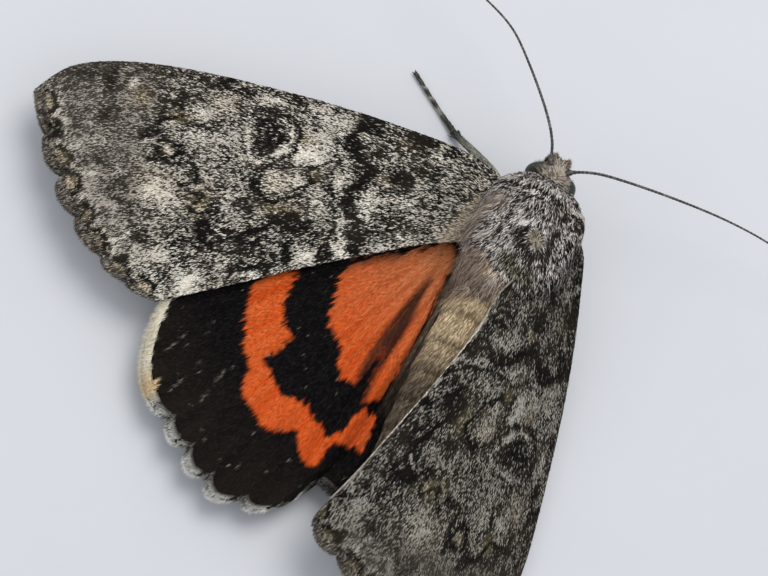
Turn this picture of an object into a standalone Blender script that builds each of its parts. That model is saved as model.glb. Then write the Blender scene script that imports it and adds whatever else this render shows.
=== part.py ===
"""A life-size underwing moth at rest: left wings half open, right wings folded over the body.

Shapes are worked out in millimetres, with the head towards +Y, the moth's right at +X, up at +Z,
the floor at z = 0 and the y axis under the body's midline. The finished meshes are turned into metres,
and the whole moth is moved sideways so that the middle of its bounding box stands on the origin.
"""

import math

import bpy
import numpy as np
from mathutils import Matrix

MM = 0.001
GAP = 0.3            # clearance between two nodes that meet
LEFT = -1
RIGHT = 1

# Wings
WING_THICKNESS = 0.5
VEIN_HEIGHT = 0.22
VEIN_HALF_WIDTH = 0.3
FOREWING_LENGTH = 38.1
FOREWING_VEINS = 8
HINDWING_LENGTH = 31.6
HINDWING_VEINS = 9
# Notches of the outer margin, as shares of the way along it from the front edge, and how deep each is.
FOREWING_NOTCHES = (0.178, 0.352, 0.527, 0.712, 0.855)
FOREWING_NOTCH_DEPTHS = (0.6, 1.2, 0.85, 0.75, 0.75)
HINDWING_NOTCHES = (0.280, 0.380, 0.474, 0.571, 0.688, 0.794)
HINDWING_NOTCH_DEPTHS = (0.25, 0.9, 1.3, 1.5, 1.1, 0.8)
LAST_NOTCH_DEPTH = 0.4
# Where each vein starts to stand out, as a share of the way from root to margin, front edge first.
FOREWING_VEIN_STARTS = (0.0, 0.0, 0.48, 0.48, 0.48, 0.0, 0.3, 0.0, 0.0)
HINDWING_VEIN_STARTS = (0.0, 0.0, 0.0, 0.43, 0.43, 0.43, 0.0, 0.3, 0.0, 0.0)
# The cross vein that closes the cell: its share of the way, and the veins it runs between.
FOREWING_CELL = (0.49, 1, 5)
HINDWING_CELL = (0.44, 2, 6)
WING_STATIONS = (0.0, 0.06, 0.14, 0.24, 0.34, 0.61, 0.73, 0.84, 0.93, 1.0)
CROSS_VEIN_HALF_WIDTH = 0.014

# Body
THORAX_HALF_WIDTH = 4.3
THORAX_HALF_HEIGHT = 3.9
THORAX_HEIGHT = 6.15     # of the thorax's axis over the floor
ABDOMEN_LENGTH = 18.6
ABDOMEN_HALF_WIDTH = 3.35
ABDOMEN_SEGMENTS = 7
HEAD_CENTRE = (0.0, 2.9, 5.8)
HEAD_RADII = (1.85, 1.65, 1.85)
EYE_RADIUS = 1.08
EYE_OFFSET = (1.27, 0.12, 0.0)     # from the head's centre, the first number to either side
ANTENNA_BASE = (0.85, 0.95, 1.4)
ANTENNA_RADIUS = 0.27
ANTENNA_TIP_RADIUS = 0.15
SCAPE_RADIUS = 0.42

# Legs
FEMUR_RADIUS = 0.46
TIBIA_RADIUS = 0.48
TARSUS_RADIUS = 0.33
TARSUS_AXIS_HEIGHT = 0.27
SPUR_LENGTH = 1.2
SPUR_RADIUS = 0.2

COLOURS = {
    "forewing": ((0.16, 0.15, 0.14), 0.85),
    "hindwing": ((0.72, 0.18, 0.05), 0.8),
    "thorax": ((0.2, 0.19, 0.18), 0.9),
    "abdomen": ((0.3, 0.25, 0.18), 0.85),
    "head": ((0.3, 0.25, 0.2), 0.9),
    "eye": ((0.05, 0.06, 0.05), 0.25),
    "antenna": ((0.09, 0.08, 0.07), 0.6),
    "leg": ((0.2, 0.19, 0.16), 0.85),
}


def vec(*numbers):
    return np.array(numbers, float)


def unit(v):
    return v / np.linalg.norm(v)


def smooth_step(x):
    x = min(1.0, max(0.0, x))
    return x * x * (3 - 2 * x)


def curve_through(points):
    """A function of 0 to 1 that runs through the points on a Catmull-Rom curve, at an even pace."""
    pts = np.array(points, float)
    padded = np.vstack([2 * pts[0] - pts[1], pts, 2 * pts[-1] - pts[-2]])

    def at_segment(i, t):
        a, b, c, d = padded[i:i + 4]
        square = 2 * a - 5 * b + 4 * c - d
        cube = 3 * b - a - 3 * c + d
        return 0.5 * (2 * b + (c - a) * t + square * t**2 + cube * t**3)

    steps = 24
    fine = [at_segment(i, k / steps) for i in range(len(pts) - 1) for k in range(steps)]
    fine = np.array(fine + [pts[-1]])
    run = np.concatenate([[0], np.cumsum(np.linalg.norm(np.diff(fine, axis=0), axis=1))])
    run /= run[-1]

    def at(u):
        return np.array([np.interp(u, run, fine[:, k]) for k in range(fine.shape[1])])

    return at


def clear_scene():
    for obj in list(bpy.data.objects):
        bpy.data.objects.remove(obj)


def material(kind):
    found = bpy.data.materials.get(kind)
    if found:
        return found
    colour, roughness = COLOURS[kind]
    made = bpy.data.materials.new(kind)
    made.use_nodes = True
    shader = made.node_tree.nodes["Principled BSDF"]
    shader.inputs["Base Color"].default_value = (*colour, 1)
    shader.inputs["Roughness"].default_value = roughness
    shader.inputs["Metallic"].default_value = 0
    return made


def new_object(name, points, faces):
    mesh = bpy.data.meshes.new(name)
    mesh.from_pydata([tuple(map(float, p)) for p in points], [], faces)
    mesh.update()
    obj = bpy.data.objects.new(name, mesh)
    bpy.context.scene.collection.objects.link(obj)
    return obj


def ellipsoid(name, centre, radii, grow=0.0, around=20, rings=10, turn=0.0):
    """An ellipsoid whose poles lie along y. turn swings it about z, in degrees."""
    a = math.radians(turn)
    swing = np.array([[math.cos(a), -math.sin(a), 0], [math.sin(a), math.cos(a), 0], [0, 0, 1]])
    size = np.array(radii, float) + grow
    stations = [(-math.cos(math.pi * k / rings), math.sin(math.pi * k / rings)) for k in range(rings + 1)]
    rows = []
    for along, out in stations[1:-1]:
        rows.append([
            swing @ (size * vec(out * math.cos(2 * math.pi * j / around), along,
                                out * math.sin(2 * math.pi * j / around))) + centre
            for j in range(around)
        ])
    first = swing @ (size * vec(0, -1, 0)) + centre
    last = swing @ (size * vec(0, 1, 0)) + centre
    return rings_object(name, rows, first, last)


def rings_object(name, rows, first, last):
    """A closed body from rings of points, with a pole at either end."""
    around = len(rows[0])
    points = [p for row in rows for p in row] + [first, last]
    start, end = len(points) - 2, len(points) - 1
    faces = []
    for i in range(len(rows) - 1):
        for j in range(around):
            k = (j + 1) % around
            faces.append((i * around + j, (i + 1) * around + j, (i + 1) * around + k, i * around + k))
    top = (len(rows) - 1) * around
    for j in range(around):
        k = (j + 1) % around
        faces.append((start, j, k))
        faces.append((end, top + k, top + j))
    return facing_out(new_object(name, points, faces))


def facing_out(obj):
    """Turns every face round if the closed mesh has a negative volume."""
    mesh = obj.data
    mesh.calc_loop_triangles()
    co = np.array([v.co for v in mesh.vertices])
    tris = co[np.array([t.vertices for t in mesh.loop_triangles])]
    if np.linalg.det(tris).sum() < 0:
        mesh.flip_normals()
    return obj


def loft(name, stations, around=24, grow=0.0, squareness=2.0):
    """A body along y. A station is y, x of the centre, z of the centre, half width, half height."""
    way = math.copysign(1, stations[-1][0] - stations[0][0])
    count = len(stations)
    stations = [
        (y + way * grow * (2 * k / (count - 1) - 1), *rest) for k, (y, *rest) in enumerate(stations)
    ]

    def ring(y, x, z, half_width, half_height):
        made = []
        for j in range(around):
            a = 2 * math.pi * j / around
            c, s = math.cos(a), math.sin(a)
            reach = (abs(c)**squareness + abs(s)**squareness) ** (-1 / squareness)
            made.append(vec(x + (half_width + grow) * reach * c, y, z + (half_height + grow) * reach * s))
        return made

    rows = [ring(*station) for station in stations]
    y0, x0, z0 = stations[0][:3]
    y1, x1, z1 = stations[-1][:3]
    first = vec(x0, y0 - way * 0.35 * stations[0][3], z0)
    last = vec(x1, y1 + way * 0.35 * stations[-1][3], z1)
    return rings_object(name, rows, first, last)


def tube(name, points, radii, sides=8, floor=False):
    """A tube through the points with its own radius at each, and a rounded tip at either end."""
    pts = [np.array(p, float) for p in points]
    rows = []
    way = [unit(pts[min(i + 1, len(pts) - 1)] - pts[max(i - 1, 0)]) for i in range(len(pts))]
    side = unit(np.cross(way[0], vec(0, 0, 1) if abs(way[0][2]) < 0.9 else vec(1, 0, 0)))
    for p, d, r in zip(pts, way, radii):
        side = unit(side - d * (side @ d))
        up = np.cross(side, d)
        ring = []
        for j in range(sides):
            a = 2 * math.pi * (j + 0.5) / sides
            q = p + r * (math.cos(a) * side + math.sin(a) * up)
            if floor:
                q[2] = max(q[2], 0.0)
            ring.append(q)
        rows.append(ring)
    first = pts[0] - way[0] * radii[0] * 0.6
    last = pts[-1] + way[-1] * radii[-1] * 0.6
    return rings_object(name, rows, first, last)


def evaluated(obj):
    graph = bpy.context.evaluated_depsgraph_get()
    return bpy.data.meshes.new_from_object(obj.evaluated_get(graph))


def discard(objects):
    for obj in objects:
        bpy.data.objects.remove(obj)


def keep_largest(obj):
    """Keeps the closed surface that holds most, which drops what a cut left loose."""
    mesh = obj.data
    count = len(mesh.vertices)
    label = np.arange(count)
    edges = np.array([e.vertices for e in mesh.edges])
    while True:
        low = np.minimum(label[edges[:, 0]], label[edges[:, 1]])
        before = label.copy()
        np.minimum.at(label, edges[:, 0], low)
        np.minimum.at(label, edges[:, 1], low)
        label = label[label]
        if (label == before).all():
            break
    co = np.array([v.co for v in mesh.vertices])
    size = {}
    mesh.calc_loop_triangles()
    for t in mesh.loop_triangles:
        a, b, c = (co[k] for k in t.vertices)
        key = label[t.vertices[0]]
        size[key] = size.get(key, 0) + np.dot(a, np.cross(b, c)) / 6
    best = max(size, key=size.get)
    if len(size) > 1:
        faces = [tuple(p.vertices) for p in mesh.polygons if label[p.vertices[0]] == best]
        used = sorted({v for f in faces for v in f})
        place = {v: i for i, v in enumerate(used)}
        fresh = bpy.data.meshes.new(mesh.name)
        fresh.from_pydata([tuple(co[v]) for v in used], [], [tuple(place[v] for v in f) for f in faces])
        fresh.update()
        obj.data = fresh
    return obj


def fused(name, pieces):
    """One Boolean union of closed pieces."""
    group = bpy.data.collections.new(name + " pieces")
    bpy.context.scene.collection.children.link(group)
    for piece in pieces[1:]:
        group.objects.link(piece)
    body = pieces[0]
    join = body.modifiers.new("join", "BOOLEAN")
    join.operation = "UNION"
    join.operand_type = "COLLECTION"
    join.collection = group
    join.solver = "EXACT"
    mesh = evaluated(body)
    discard(pieces)
    bpy.data.collections.remove(group)
    obj = bpy.data.objects.new(name, mesh)
    bpy.context.scene.collection.objects.link(obj)
    return keep_largest(obj)


def cut_clear(obj, cutters, solver="EXACT"):
    """Cuts the object back from each cutter, then removes the cutters."""
    for cutter in cutters:
        cut = obj.modifiers.new("cut", "BOOLEAN")
        cut.operation = "DIFFERENCE"
        cut.object = cutter
        cut.solver = solver
        mesh = evaluated(obj)
        obj.modifiers.clear()
        obj.data = mesh
    discard(cutters)
    return keep_largest(obj)


def thorax(name, grow=0.0):
    """The trunk with its collar, the two flaps over the wing roots and the two crests on the back."""
    w, h, z = THORAX_HALF_WIDTH, THORAX_HALF_HEIGHT, THORAX_HEIGHT
    trunk = loft("trunk", [
        (1.35, 0, z + 0.1, 0.42 * w, 0.48 * h),
        (0.9, 0, z + 0.1, 0.70 * w, 0.76 * h),
        (-0.2, 0, z + 0.1, 0.91 * w, 0.90 * h),
        (-2.2, 0, z, w, 0.98 * h),
        (-4.4, 0, z, w, h),
        (-6.4, 0, z - 0.1, 0.95 * w, 0.95 * h),
        (-8.2, 0, z - 0.3, 0.84 * w, 0.82 * h),
        (-9.4, 0, z - 0.5, 0.66 * w, 0.62 * h),
    ], grow=grow, squareness=2.2)
    collar = ellipsoid("collar", vec(0, 1.05, z + 1.3), (3.5, 1.25, 2.35), grow, 20, 8)
    flaps = [
        ellipsoid("flap", vec(side * 3.35, -2.75, z + 1.35), (1.45, 4.1, 2.5), grow, 16, 10, turn=side * 3)
        for side in (LEFT, RIGHT)
    ]
    crest = ellipsoid("crest", vec(0, -4.6, z + 3.4), (1.5, 1.7, 0.95), grow, 14, 8)
    rear_crest = ellipsoid("rear crest", vec(-0.1, -8.3, z + 2.1), (2.1, 1.8, 1.05), grow, 14, 8)
    return fused(name, [trunk, collar, *flaps, crest, rear_crest])


def head(name, grow=0.0):
    skull = ellipsoid("skull", vec(*HEAD_CENTRE), HEAD_RADII, grow, 20, 12)
    tuft = ellipsoid("tuft", vec(*HEAD_CENTRE) + vec(0, 0.15, 1.2), (1.05, 0.95, 0.85), grow, 14, 8)
    brow = ellipsoid("brow", vec(*HEAD_CENTRE) + vec(0, 1.0, 0.05), (1.05, 0.9, 1.3), grow, 14, 8)
    return fused(name, [skull, tuft, brow])


def eye(name, side):
    place = vec(*HEAD_CENTRE) + vec(side, 1, 1) * vec(*EYE_OFFSET)
    ball = ellipsoid(name, place, (EYE_RADIUS, EYE_RADIUS * 0.92, EYE_RADIUS * 1.05), 0, 20, 12)
    return cut_clear(ball, [head("head cutter", GAP), thorax("thorax cutter", GAP)])


def antenna(name, side, points):
    """A thread that tapers to its tip, on a thicker first joint."""
    base = vec(*HEAD_CENTRE) + vec(side, 1, 1) * vec(*ANTENNA_BASE)
    run = curve_through([base, *points])
    count = 26
    places = [run(k / count) for k in range(count + 1)]
    thinning = ANTENNA_TIP_RADIUS - ANTENNA_RADIUS
    radii = [ANTENNA_RADIUS + thinning * (k / count) ** 1.5 for k in range(count + 1)]
    thread = tube("thread", places, radii, 8)
    inward = base - unit(run(0.05) - base) * 1.0
    joint = tube("first joint", [inward, base, base + unit(run(0.05) - base) * 0.55],
                 [SCAPE_RADIUS, SCAPE_RADIUS, SCAPE_RADIUS * 0.85], 10)
    return cut_clear(fused(name, [thread, joint]), [head("head cutter", GAP)])


def palp(name, side):
    """A palp curves up from under the head in front of its brow."""
    x, y, z = HEAD_CENTRE
    run = curve_through([
        (x + side * 0.7, y + 0.9, z - 1.5),
        (x + side * 0.72, y + 1.75, z - 1.6),
        (x + side * 0.68, y + 2.4, z - 0.8),
        (x + side * 0.6, y + 2.25, z + 0.3),
        (x + side * 0.5, y + 2.15, z + 1.0),
    ])
    count = 9
    radii = [0.42, 0.48, 0.52, 0.52, 0.5, 0.46, 0.4, 0.27, 0.26, 0.18]
    body = tube(name, [run(k / count) for k in range(count + 1)], radii, 10)
    return cut_clear(body, [head("head cutter", GAP)])


def abdomen(name, grow=0.0):
    """Seven rings that taper to the tip, each a little wider at its rear edge."""
    start = -9.2
    stations = []
    for k in range(ABDOMEN_SEGMENTS):
        for share, swell in ((0.12, 0.955), (0.82, 1.0)):
            u = (k + share) / ABDOMEN_SEGMENTS
            taper = 1 - 0.16 * u - 0.52 * u**3
            stations.append((
                start - ABDOMEN_LENGTH * u,
                -0.1 - 1.1 * u**2,
                5.55 - 2.1 * u,
                ABDOMEN_HALF_WIDTH * taper * swell,
                2.85 * (taper - 0.04 * u) * swell,
            ))
    return loft(name, stations, around=24, grow=grow)


def scallop(v, notches, depths):
    """How far the outer margin is drawn in: rounded lobes with notches between them."""
    phase = np.interp(v, [0.0, *notches, 1.0], [0.0, *(k + 0.5 for k in range(len(notches))), len(notches)])
    depth = np.interp(v, notches, depths, right=LAST_NOTCH_DEPTH)
    return depth * (1 - abs(math.cos(math.pi * phase)) ** 0.55)


def wing_rays(veins, notches, margin_length):
    """Rays across a wing as (place, vein): two feet and a crest at each vein, the notches and the lobe tips.

    vein is the number of the vein whose crest the ray is, and None for the others.
    """
    foot = VEIN_HALF_WIDTH / margin_length
    rays = [(k / veins, k) for k in range(veins + 1)]
    rays += [(k / veins - foot, None) for k in range(1, veins + 1)]
    rays += [(k / veins + foot, None) for k in range(veins)]
    ends = [0.0, *notches, 1.0]
    between = [*notches, *((a + b) / 2 for a, b in zip(ends, ends[1:]))]
    rays += [(v, None) for v in between if abs(v - round(v * veins) / veins) > foot * 1.25]
    return sorted(rays, key=lambda ray: ray[0])


def wing(name, costa, dorsum, margin, veins, notches, depths, margin_length, starts, cell,
         bulge=0.0, pleat=0.0, fold=None):
    """A thin sheet between its front edge, its rear edge and its scalloped outer margin.

    costa, dorsum and margin are functions of 0 to 1 that give points in space, the first two from the
    root out and the last from the front edge to the rear one. Veins stand as ridges on the upper face.
    """
    corner_front, corner_rear = costa(0), dorsum(0)
    tip_front, tip_rear = costa(1), dorsum(1)
    rays = wing_rays(veins, notches, margin_length)
    cell_end, cell_first, cell_last = cell
    beside = (cell_end - CROSS_VEIN_HALF_WIDTH, cell_end, cell_end + CROSS_VEIN_HALF_WIDTH)
    stations = sorted(WING_STATIONS + beside)

    def root(v):
        return corner_front + (corner_rear - corner_front) * v

    def middle(r, v):
        sides = (1 - v) * costa(r) + v * dorsum(r)
        ends = (1 - r) * root(v) + r * margin(v)
        corners = ((1 - r) * ((1 - v) * corner_front + v * corner_rear)
                   + r * ((1 - v) * tip_front + v * tip_rear))
        p = sides + ends - corners
        out = unit(margin(v) - root(v))
        p = p - out * scallop(v, notches, depths) * r**6
        p = p + vec(0, 0, 1) * bulge * math.sin(math.pi * v) * smooth_step(r * 2.2)
        if fold:
            p = p + vec(0, 0, 1) * fold(r, v)
        return p

    def ridge_height(r, v, vein):
        if r == cell_end and cell_first / veins <= v <= cell_last / veins:
            return VEIN_HEIGHT
        if vein is None:
            return 0.0
        return VEIN_HEIGHT * smooth_step((r - starts[vein]) * 13)

    rows = [[middle(r, v) for v, _ in rays] for r in stations]
    grid = np.array(rows)
    along = np.gradient(grid, axis=0)
    across = np.gradient(grid, axis=1)
    normal = np.cross(along, across)
    normal /= np.linalg.norm(normal, axis=2, keepdims=True)
    if normal[:, :, 2].mean() < 0:
        normal = -normal
    wave = np.array([
        [pleat * math.cos(2 * math.pi * veins * v) * smooth_step(r * 3) for v, _ in rays] for r in stations
    ])
    ridge = np.array([[ridge_height(r, v, vein) for v, vein in rays] for r in stations])
    top = grid + normal * (WING_THICKNESS / 2 + ridge + wave)[..., None]
    low = grid + normal * (-WING_THICKNESS / 2 + wave)[..., None]
    n, m = len(stations), len(rays)
    points = [p for row in top for p in row] + [p for row in low for p in row]
    faces = []
    for i in range(n - 1):
        for j in range(m - 1):
            a, b, c, d = i * m + j, (i + 1) * m + j, (i + 1) * m + j + 1, i * m + j + 1
            faces += [(a, b, c), (a, c, d)]
            faces += [(n * m + a, n * m + c, n * m + b), (n * m + a, n * m + d, n * m + c)]
    rim = ([(i, 0) for i in range(n)] + [(n - 1, j) for j in range(1, m)]
           + [(i, m - 1) for i in range(n - 2, -1, -1)] + [(0, j) for j in range(m - 2, 0, -1)])
    for (i0, j0), (i1, j1) in zip(rim, rim[1:] + rim[:1]):
        a, b = i0 * m + j0, i1 * m + j1
        faces += [(a, n * m + a, n * m + b), (a, n * m + b, b)]
    return facing_out(new_object(name, points, faces))


def forewing_left(name):
    """The half-open wing lies nearly flat, its tip a little lower than its root."""
    root = vec(-4.56, -0.53, 6.5)
    apex = vec(-40.62, -12.45, 3.8)
    tornus = vec(-25.04, -23.2, 3.6)
    along = unit(apex - root)
    up = unit(np.cross(tornus - root, apex - root))
    if up[2] < 0:
        up = -up
    back = np.cross(along, up)
    if back @ (tornus - root) < 0:
        back = -back

    def place(s, t):
        return root + along * s + back * t

    costa = curve_through([place(*p) for p in (
        (-1.3, -0.9), (2.0, -2.45), (8.0, -3.55), (15.0, -4.35), (24.0, -4.75),
        (30.5, -4.4), (35.2, -3.05), (FOREWING_LENGTH, -0.2))])
    dorsum = curve_through([place(*p) for p in (
        (0.6, 5.0), (4.5, 6.0), (12.5, 9.3), (21.0, 13.2), (25.2, 15.1))])
    margin = curve_through([place(*p) for p in (
        (FOREWING_LENGTH, -0.2), (37.2, 3.0), (35.6, 6.6), (33.6, 9.7), (30.9, 12.5),
        (27.8, 14.5), (25.2, 15.1))])
    return wing(name, costa, dorsum, margin, FOREWING_VEINS, FOREWING_NOTCHES, FOREWING_NOTCH_DEPTHS, 20.8,
                FOREWING_VEIN_STARTS, FOREWING_CELL, bulge=0.5)


def forewing_right(name):
    """The folded wing arches over the right side of the body, its rear edge on the midline."""
    costa = curve_through([
        (3.3, 0.3, 6.2), (5.2, -0.9, 5.2), (6.5, -3.2, 4.1), (8.5, -8.0, 2.8), (10.25, -13.5, 1.95),
        (12.1, -21.0, 1.3), (13.0, -25.7, 1.15), (13.5, -31.0, 1.05), (13.6, -35.2, 1.05),
        (12.9, -38.5, 1.15)])
    dorsum = curve_through([
        (1.4, -5.8, 8.3), (0.2, -9.3, 9.3), (-0.1, -13.0, 9.2), (-0.9, -18.1, 8.2), (-1.9, -22.8, 7.1),
        (-2.9, -27.3, 5.9), (-3.8, -30.4, 5.0)])
    margin = curve_through([
        (12.9, -38.5, 1.15), (10.4, -39.2, 1.8), (7.2, -38.6, 2.55), (3.9, -37.4, 3.2), (0.8, -36.0, 3.8),
        (-2.2, -34.6, 4.25), (-4.3, -33.3, 4.6), (-3.8, -30.4, 5.0)])
    return wing(name, costa, dorsum, margin, FOREWING_VEINS, FOREWING_NOTCHES, FOREWING_NOTCH_DEPTHS, 21.5,
                FOREWING_VEIN_STARTS, FOREWING_CELL, bulge=2.0)


def hindwing_left(name):
    """The half-open hindwing, a fan behind the forewing, with a crease beside the body."""
    root = vec(-4.0, -3.2, 4.9)

    def place(radius, degrees):
        """A point of the fan: the angle turns from the moth's left towards its rear."""
        a = math.radians(degrees)
        x, y = radius * math.cos(a), radius * math.sin(a)
        drop = 2.9 * (radius / HINDWING_LENGTH) ** 0.9
        return root + vec(-x, -y, -drop)

    costa = curve_through([
        vec(-3.0, -2.7, 4.9), place(3.5, 33), place(10.0, 38.5), place(19.0, 42.0), place(26.6, 43.5)])
    dorsum = curve_through([
        (-2.9, -6.6, 4.4), (-3.35, -10.2, 3.7), (-3.5, -15.0, 3.15), (-3.45, -20.5, 2.7), (-3.5, -25.5, 2.35),
        (-3.6, -29.3, 2.2)])
    reach = ((43.5, 26.6), (46.5, 28.0), (51.0, 29.9), (56.0, 31.4), (62.0, HINDWING_LENGTH), (68.0, 32.1),
             (74.0, 32.6), (79.0, 31.6), (83.0, 30.3), (85.4, 28.2), (86.8, 26.0), (89.0, 25.9))
    margin = curve_through([place(r, a) for a, r in reach] + [(-3.6, -29.3, 2.2)])

    def fold(r, v):
        """A valley along the crease beside the body."""
        return -0.6 * math.exp(-((v - 0.93) / 0.04) ** 2) * smooth_step(r * 2.5)

    return wing(name, costa, dorsum, margin, HINDWING_VEINS, HINDWING_NOTCHES, HINDWING_NOTCH_DEPTHS, 28.9,
                HINDWING_VEIN_STARTS, HINDWING_CELL, bulge=0.35, fold=fold)


def hindwing_right(name):
    """The folded hindwing, pleated like a fan under the folded forewing."""
    costa = curve_through([
        (3.0, -2.6, 4.6), (5.0, -5.4, 4.0), (6.9, -10.0, 2.9), (8.4, -16.0, 2.0), (9.3, -22.0, 1.5),
        (9.4, -28.0, 1.4)])
    dorsum = curve_through([
        (2.9, -6.6, 4.7), (4.2, -10.2, 4.6), (4.1, -15.0, 4.2), (3.4, -20.5, 3.5), (2.3, -27.0, 2.9)])
    margin = curve_through([
        (9.4, -28.0, 1.4), (8.1, -30.0, 1.8), (6.2, -30.6, 2.2), (4.2, -29.6, 2.6), (2.3, -27.0, 2.9)])
    return wing(name, costa, dorsum, margin, HINDWING_VEINS, HINDWING_NOTCHES,
                tuple(0.4 * depth for depth in HINDWING_NOTCH_DEPTHS), 12.0,
                HINDWING_VEIN_STARTS, HINDWING_CELL, bulge=0.9, pleat=0.15)


def leg(name, hip, knee, ankle, foot, spurs):
    """Femur, tibia and a foot of five joints that lies on the floor, with spurs on the tibia."""
    hip, knee, ankle, foot = (vec(*p) for p in (hip, knee, ankle, foot))
    ankle_low = vec(ankle[0], ankle[1], TARSUS_AXIS_HEIGHT + 0.35)
    way = unit(foot - ankle_low)
    tarsus = np.linalg.norm(foot - ankle_low)
    joints = [0.0, 0.41, 0.61, 0.77, 0.9, 1.0]
    points = [hip, hip + (knee - hip) * 0.5]
    points += [knee - unit(knee - hip) * 0.35, knee + unit(ankle_low - knee) * 0.35]
    radii = [FEMUR_RADIUS * 1.15, FEMUR_RADIUS * 1.1, FEMUR_RADIUS * 0.9, TIBIA_RADIUS * 0.85]
    points += [knee + (ankle_low - knee) * 0.55, ankle_low - unit(ankle_low - knee) * 0.35]
    radii += [TIBIA_RADIUS, TIBIA_RADIUS * 0.9]
    for here, after in zip(joints, joints[1:]):
        a, b = (ankle_low + way * tarsus * share for share in (here, after))
        for p, r in ((a + (b - a) * 0.14, 0.94), (b - (b - a) * 0.1, 1.06)):
            share = np.linalg.norm(p - ankle_low) / tarsus
            height = TARSUS_AXIS_HEIGHT + 0.3 * max(0.0, 1 - share * 6)
            points.append(vec(p[0], p[1], height))
            radii.append(TARSUS_RADIUS * r * (1 - 0.12 * share))
    pieces = [tube("limb", points, radii, 8, floor=True)]
    side = unit(np.cross(way, vec(0, 0, 1)))
    shin = unit(ankle_low - knee)
    for share, lean in spurs:
        at = knee + (ankle_low - knee) * share
        tip = at + unit(shin * 0.9 + side * lean * 0.5) * SPUR_LENGTH
        tip[2] = max(tip[2], 0.35)
        pieces.append(tube("spur", [at, at + (tip - at) * 0.6, tip], [SPUR_RADIUS, SPUR_RADIUS, 0.1], 6))
    claws = foot + way * 0.05
    for lean in (-1, 1):
        tip = claws + way * 0.3 + side * lean * 0.22
        pieces.append(tube("claw", [claws - way * 0.5, vec(tip[0], tip[1], 0.2)], [0.2, 0.12], 5, floor=True))
    return cut_clear(fused(name, pieces), [thorax("thorax cutter", GAP)])


FORE_SPURS = ()
MID_SPURS = ((0.93, 1), (0.93, -1))
HIND_SPURS = ((0.6, 1), (0.93, 1), (0.93, -1))
FOOT = TARSUS_AXIS_HEIGHT

# Hip, knee, ankle and foot tip of each leg, then its spurs: how far down the tibia, and to which side.
LEGS = {
    "foreleg_left": ((-1.0, 0.5, 3.4), (-2.1, 1.4, 1.7), (-2.1, 2.6, 0.8), (-1.2, 5.2, FOOT), FORE_SPURS),
    "foreleg_right": ((1.0, 0.5, 3.4), (2.2, 1.2, 1.7), (2.2, 2.4, 0.8), (1.3, 5.0, FOOT), FORE_SPURS),
    "midleg_left": ((-1.9, -1.6, 3.2), (-3.9, 2.3, 3.4), (-8.2, 4.8, 0.9), (-14.0, 8.2, FOOT), MID_SPURS),
    "midleg_right": ((1.6, -1.8, 3.2), (5.0, -2.2, 2.3), (7.3, -6.2, 0.9), (9.3, -12.9, FOOT), MID_SPURS),
    "hindleg_left": ((-1.7, -6.0, 3.2), (-5.4, -8.6, 2.3), (-8.0, -14, 0.9), (-11.4, -21, FOOT), HIND_SPURS),
    "hindleg_right": ((1.7, -6.0, 3.2), (4.4, -10.0, 2.2), (5.4, -15.6, 0.9), (7.2, -23.4, FOOT), HIND_SPURS),
}

ANTENNA_LEFT = ((-1.7, 5.4, 8.0), (-3.4, 7.6, 8.0), (-6.4, 10.8, 7.5), (-9.0, 13.1, 7.0),
                (-12.1, 14.5, 6.5), (-15.2, 15.3, 6.0), (-18.3, 15.5, 5.6))
ANTENNA_RIGHT = ((2.4, 4.6, 7.8), (4.4, 5.3, 7.8), (8.6, 6.6, 7.0), (13.3, 7.8, 6.1), (17.0, 8.4, 5.5),
                 (20.0, 8.6, 5.0), (22.6, 8.5, 4.6))


def finish(obj, kind, parent):
    """Gives the object its material, turns it into metres and hangs it on the moth's empty."""
    obj.data.transform(Matrix.Scale(MM, 4))
    obj.data.materials.clear()
    obj.data.materials.append(material(kind))
    obj.data.shade_smooth()
    obj.data.set_sharp_from_angle(angle=math.radians(50))
    obj.parent = parent


def build():
    clear_scene()
    moth = bpy.data.objects.new("moth", None)
    bpy.context.scene.collection.objects.link(moth)
    nodes = [
        (thorax("thorax"), "thorax"),
        (cut_clear(abdomen("abdomen"), [thorax("thorax cutter", GAP)]), "abdomen"),
        (cut_clear(head("head"), [thorax("thorax cutter", GAP)]), "head"),
        (eye("eye_left", LEFT), "eye"),
        (eye("eye_right", RIGHT), "eye"),
        (palp("palp_left", LEFT), "head"),
        (palp("palp_right", RIGHT), "head"),
        (antenna("antenna_left", LEFT, ANTENNA_LEFT), "antenna"),
        (antenna("antenna_right", RIGHT, ANTENNA_RIGHT), "antenna"),
    ]
    for make, kind in ((forewing_left, "forewing"), (forewing_right, "forewing"),
                       (hindwing_left, "hindwing"), (hindwing_right, "hindwing")):
        sheet = make(make.__name__)
        nodes.append((cut_clear(sheet, [thorax("thorax cutter", GAP)], "MANIFOLD"), kind))
    for name, (hip, knee, ankle, foot, spurs) in LEGS.items():
        nodes.append((leg(name, hip, knee, ankle, foot, spurs), "leg"))
    for obj, kind in nodes:
        finish(obj, kind, moth)
    corners = np.array([v.co for obj, _ in nodes for v in obj.data.vertices])
    middle = (corners.min(0) + corners.max(0)) / 2
    moth.location = (-middle[0], -middle[1], 0)


build()
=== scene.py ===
import math

import bmesh
import bpy
import numpy as np
from bpy.props import FloatProperty, FloatVectorProperty, IntProperty, PointerProperty
from mathutils import Matrix, Vector


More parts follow.
